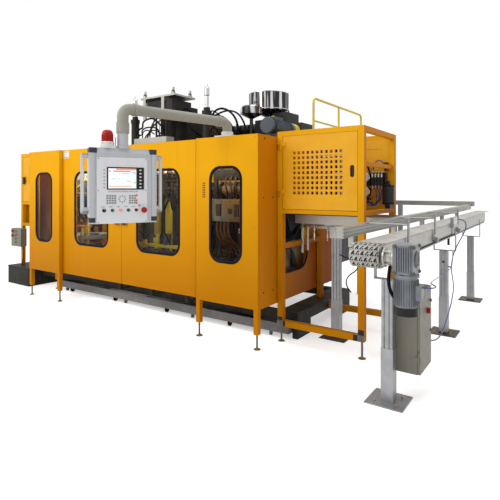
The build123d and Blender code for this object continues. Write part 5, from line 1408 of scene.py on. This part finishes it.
# Behind the grille: all of it guessed from blurred shapes
# The black sheet at the back is painted shade, for the dark seen through the grille.
unit.use("rubber").block(80, 560, 1238, 1246, 1420, 2060, 3)
unit.use("card_brown")
for x, z in ((90, 1900), (100, 1560), (270, 1640), (410, 1460)):
    unit.block(x, x + 90, 1000, 1012, z, z + 130, 4)
unit.use("dull_steel")
for x in (120, 230, 340, 450, 520):
    unit.block(x, x + 60, 900, 1000, 1440 + (x % 70), 1660 + (x % 90), 5)
unit.use("card_brown")
for x, z in ((100, 1760), (200, 1500), (330, 1800), (470, 1520), (560, 1760)):
    unit.block(x, x + 64, 860, 900, z, z + 200, 6)
unit.use("aluminium")
for z in (1700, 1725, 1905):
    unit.rod((90, 780, z), (600, 780, z), 11)
for x in (280, 300, 520):
    unit.rod((x, 800, 1420), (x, 800, 2040), 9)
unit.use("blue_hose")
for n in range(4):
    unit.tube(
        10, (110 + 30 * n, 700, 2040), (180 + 60 * n, 690, 1900),
        (260 + 70 * n, 690, 1760 - 20 * n), (420 + 40 * n, 700, 1660), (590, 710, 1700 - 60 * n))
unit.use("rubber")
for n in range(3):
    unit.tube(
        14, (130 + 150 * n, 740, 1420), (110 + 150 * n, 730, 1600), (190 + 140 * n, 730, 1760),
        (160 + 150 * n, 740, 2040))
unit.use("aluminium")
for x, low_end, high_end, radius in ((58, 862, 1187, 16), (125, 894, 1136, 13)):
    unit.rod((x, 800, low_end), (x, 800, high_end), radius)
    unit.block(x - 20, x + 20, 776, 800, 1126, 1172, 3)
unit.block(60, 404, 812, 842, 1136, 1168, 4)
unit.use("bright_steel")
for x in (205, 360):
    unit.rod((x, 800, 1010), (x, 800, 1215), 5)
    unit.nut((x, 800, 1168), (0, 0, 1), 13)
    unit.nut((x, 800, 1130), (0, 0, -1), 13)
    unit.rod((x, 800, 1040), (x, 800, 1085), 10)
unit.use("white_plastic").block(398, 470, 770, 832, 1045, 1168, 5)
unit.use("rubber").tube(5, (506, 780, 880), (600, 700, 868), (700, 600, 872), (868, 414, 900))
unit.tube(
    6, (868, 414, 880), (830, 470, 800), (700, 560, 720), (640, 620, 640), (660, 640, 560),
    (690, 650, 530))
unit.done()

# Scrap tray's casters

casters = Piece("floor_fittings", "machine", "rubber")
for x in (-3700, -2700, -1700, -700):
    for y in (480, 840):
        casters.use("rubber").lathe(
            (x - 12, y, 37), (1, 0, 0), ((8, 0), (34, 2), (36.5, 5), (36.5, 19), (34, 22), (8, 24)),
            28)
        casters.use("dull_steel").block(x - 15, x + 15, y - 18, y + 18, 62, 80, 4)
casters.done()

# Cords

def hose(name, node, finish, diameter, *points, stiffness="medium", lay="loose"):
    """A free hose as a smooth curve through its route's corners."""
    data = pipe(name, [MACHINE @ Vector(place) for place in points], diameter * MM / 2, 3, 8)
    data.materials.append(looks[finish])
    piece = bpy.data.objects.new(name, data)
    scene.collection.objects.link(piece)
    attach(piece, "machine")
    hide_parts(node)
    length = sum((Vector(b) - Vector(a)).length for a, b in zip(points, points[1:]))
    for before, corner, after in zip(points, points[1:], points[2:]):
        arrive = Vector(corner) - Vector(before)
        leave = Vector(after) - Vector(corner)
        half_turn = arrive.angle(leave, 0) / 2
        if half_turn > 1e-4:
            run = 0.45 * min(arrive.length, leave.length)
            length -= 2 * run - 2 * half_turn * run / math.tan(half_turn)


hose(
    "cabinet_blue_hose", "cabinet_hose", "blue_hose", 10, (1500, 1540, 1245), (1548, 1540, 1245),
    (1590, 1553, 1213), (1588, 1563, 1150), (1556, 1574, 1075), (1508, 1585, 985),
    (1464, 1594, 880), (1440, 1600, 775), (1440, 1599, 675), (1460, 1558, 604), (1487, 1452, 556),
    (1510, 1318, 527), (1524, 1180, 498), (1544, 1044, 476), (1553, 905, 446), (1566, 764, 422),
    (1573, 622, 390), (1580, 484, 356), (1573, 352, 324), (1550, 244, 328), (1517, 166, 356),
    (1517, 107.2, 356))
hose(
    "gear_motor_lead", "motor_lead", "blue_hose", 8, (1708.2, -751, 962), (1766.2, -751, 962),
    (1781.2, -671, 961), (1718, -560, 952), (1690, -440, 934), (1654, -250, 905), (1612, -30, 868),
    (1570, 200, 832), (1536, 430, 800), (1508, 660, 774), (1486, 900, 750), (1468, 1130, 733),
    (1452, 1340, 722), (1443, 1500, 718), (1441, 1608, 723), (1441, 1635, 775), (1446, 1640, 834),
    (1446, 1640, 893.2))
hose(
    "upper_cylinder_hose", "hydraulic_hoses", "rubber", 24, (-2587, 800, 2420), (-2500, 800, 2420),
    (-2390, 690, 2486), (-2265, 648, 2514), (-2130, 642, 2522), (-2022, 632, 2448),
    (-1961, 680, 2375), (-1961, 680, 2290), stiffness="stiff")
hose(
    "lower_cylinder_hose", "hydraulic_hoses", "rubber", 20, (-2587, 800, 2330), (-2500, 800, 2330),
    (-2410, 690, 2366), (-2300, 640, 2396), (-2185, 636, 2402), (-2095, 646, 2392),
    (-2048, 680, 2350), (-2048, 680, 2290), stiffness="stiff")
hose(
    "hanging_head_hose", "hydraulic_hoses", "brown_hose", 18, (-2165, 700, 2540),
    (-2165, 700, 2478), (-2212, 696, 2412), (-2270, 702, 2345), (-2318, 706, 2268),
    (-2366, 716, 2196), (-2430, 730, 2140), (-2500, 740, 2110.2), (-2573, 740, 2110.2),
    lay="hanging")
hose(
    "arched_extruder_hose", "hydraulic_hoses", "rubber", 32, (-1960, 1672, 2550),
    (-1960, 1672, 2640), (-1905, 1672, 2735), (-1790, 1674, 2775), (-1665, 1676, 2740),
    (-1560, 1680, 2665), (-1490, 1684, 2560), (-1464, 1686, 2430), (-1462, 1686, 2310),
    (-1462, 1686, 2210), stiffness="stiff")
hose(
    "operator_box_cable", "fixed_hoses", "brown_hose", 14, (-4970, 400, 600), (-4970, 400, 545),
    (-4958, 403, 480), (-4964, 397, 408), (-4990, 395, 345), (-4990, 395, 290), lay="hanging")
hose(
    "regulator_hose", "fixed_hoses", "blue_hose", 8, (640, 1215, 1440), (640, 1215, 1412),
    (664, 1213, 1382), (708, 1211, 1372), (750, 1210, 1398), (778, 1210, 1446), (787, 1212, 1500),
    (775, 1218, 1546), (748, 1225, 1572), (748, 1225, 1600), lay="hanging")

# Floor, light and backdrop

FLOOR_WHITE = (0.9, 0.9, 0.9)
FLOOR_SHADE = (0.88, 0.88, 0.88)
WORLD_LIGHT = 0.72
FLOOR_GLOW = 0.45


def sees_background(nodes):
    """1 where the camera, a mirror or clear glass looks, and 0 for light on the object."""
    path = nodes.add("ShaderNodeLightPath")
    seen = nodes.math("MAXIMUM", path.outputs["Is Camera Ray"], path.outputs["Is Glossy Ray"])
    return nodes.math("MAXIMUM", seen, path.outputs["Is Transmission Ray"])


floor_mesh = bpy.data.meshes.new("floor")
floor_form = bmesh.new()
bmesh.ops.create_circle(floor_form, cap_ends=True, radius=60, segments=64)
floor_form.to_mesh(floor_mesh)
floor_form.free()
floor = bpy.data.objects.new("floor", floor_mesh)
scene.collection.objects.link(floor)
floor_finish = Finish("pale_floor")
floor_finish.color(
    floor_finish.mix(
        floor_finish.ramp(floor_finish.noise(0.8, 3), 0.3, 0.7), FLOOR_WHITE, FLOOR_SHADE))
floor_finish.set(Roughness=0.7, Specular_IOR_Level=0.0, Emission_Color=(1.0, 1.0, 1.0, 1.0))
floor_glow = floor_finish.math("MULTIPLY", sees_background(floor_finish), FLOOR_GLOW)
floor_finish.link(floor_glow, floor_finish.shader.inputs["Emission Strength"])
floor_mesh.materials.append(floor_finish.material)

world = bpy.data.worlds.new("studio")
world.use_nodes = True
air = Nodes(world.node_tree)
background = air.tree.nodes["Background"]
background.inputs["Color"].default_value = (1.0, 1.0, 1.0, 1.0)
air.link(air.ramp(sees_background(air), 0, 1, WORLD_LIGHT, 1.0), background.inputs["Strength"])
scene.world = world


def softbox(name, place, aim, size, power, color=(1, 1, 1)):
    light = bpy.data.lights.new(name, "AREA")
    light.shape = "RECTANGLE"
    light.size, light.size_y = size
    light.energy = power
    light.color = color
    lamp = bpy.data.objects.new(name, light)
    lamp.location = place
    lamp.rotation_euler = (Vector(aim) - Vector(place)).to_track_quat("-Z", "Y").to_euler()
    scene.collection.objects.link(lamp)
    return lamp


softbox("key", (-2.5, -8.0, 6.0), (0.0, 0.0, 1.0), (6, 4), 330, (1.0, 0.98, 0.95))
softbox("top", (1.0, 0.0, 8.0), (0.5, 0.5, 0.0), (8, 8), 260)
for name, x, power in (("work_light_left", -3000, 34), ("work_light_right", -1300, 30)):
    place = MACHINE @ Vector((x, 300, 2040))
    aim = MACHINE @ Vector((x, 700, 900))
    work_light = softbox(name, place, aim, (1.5, 0.3), power, (1.0, 0.97, 0.9))
    work_light.visible_camera = False
    work_light.visible_glossy = False
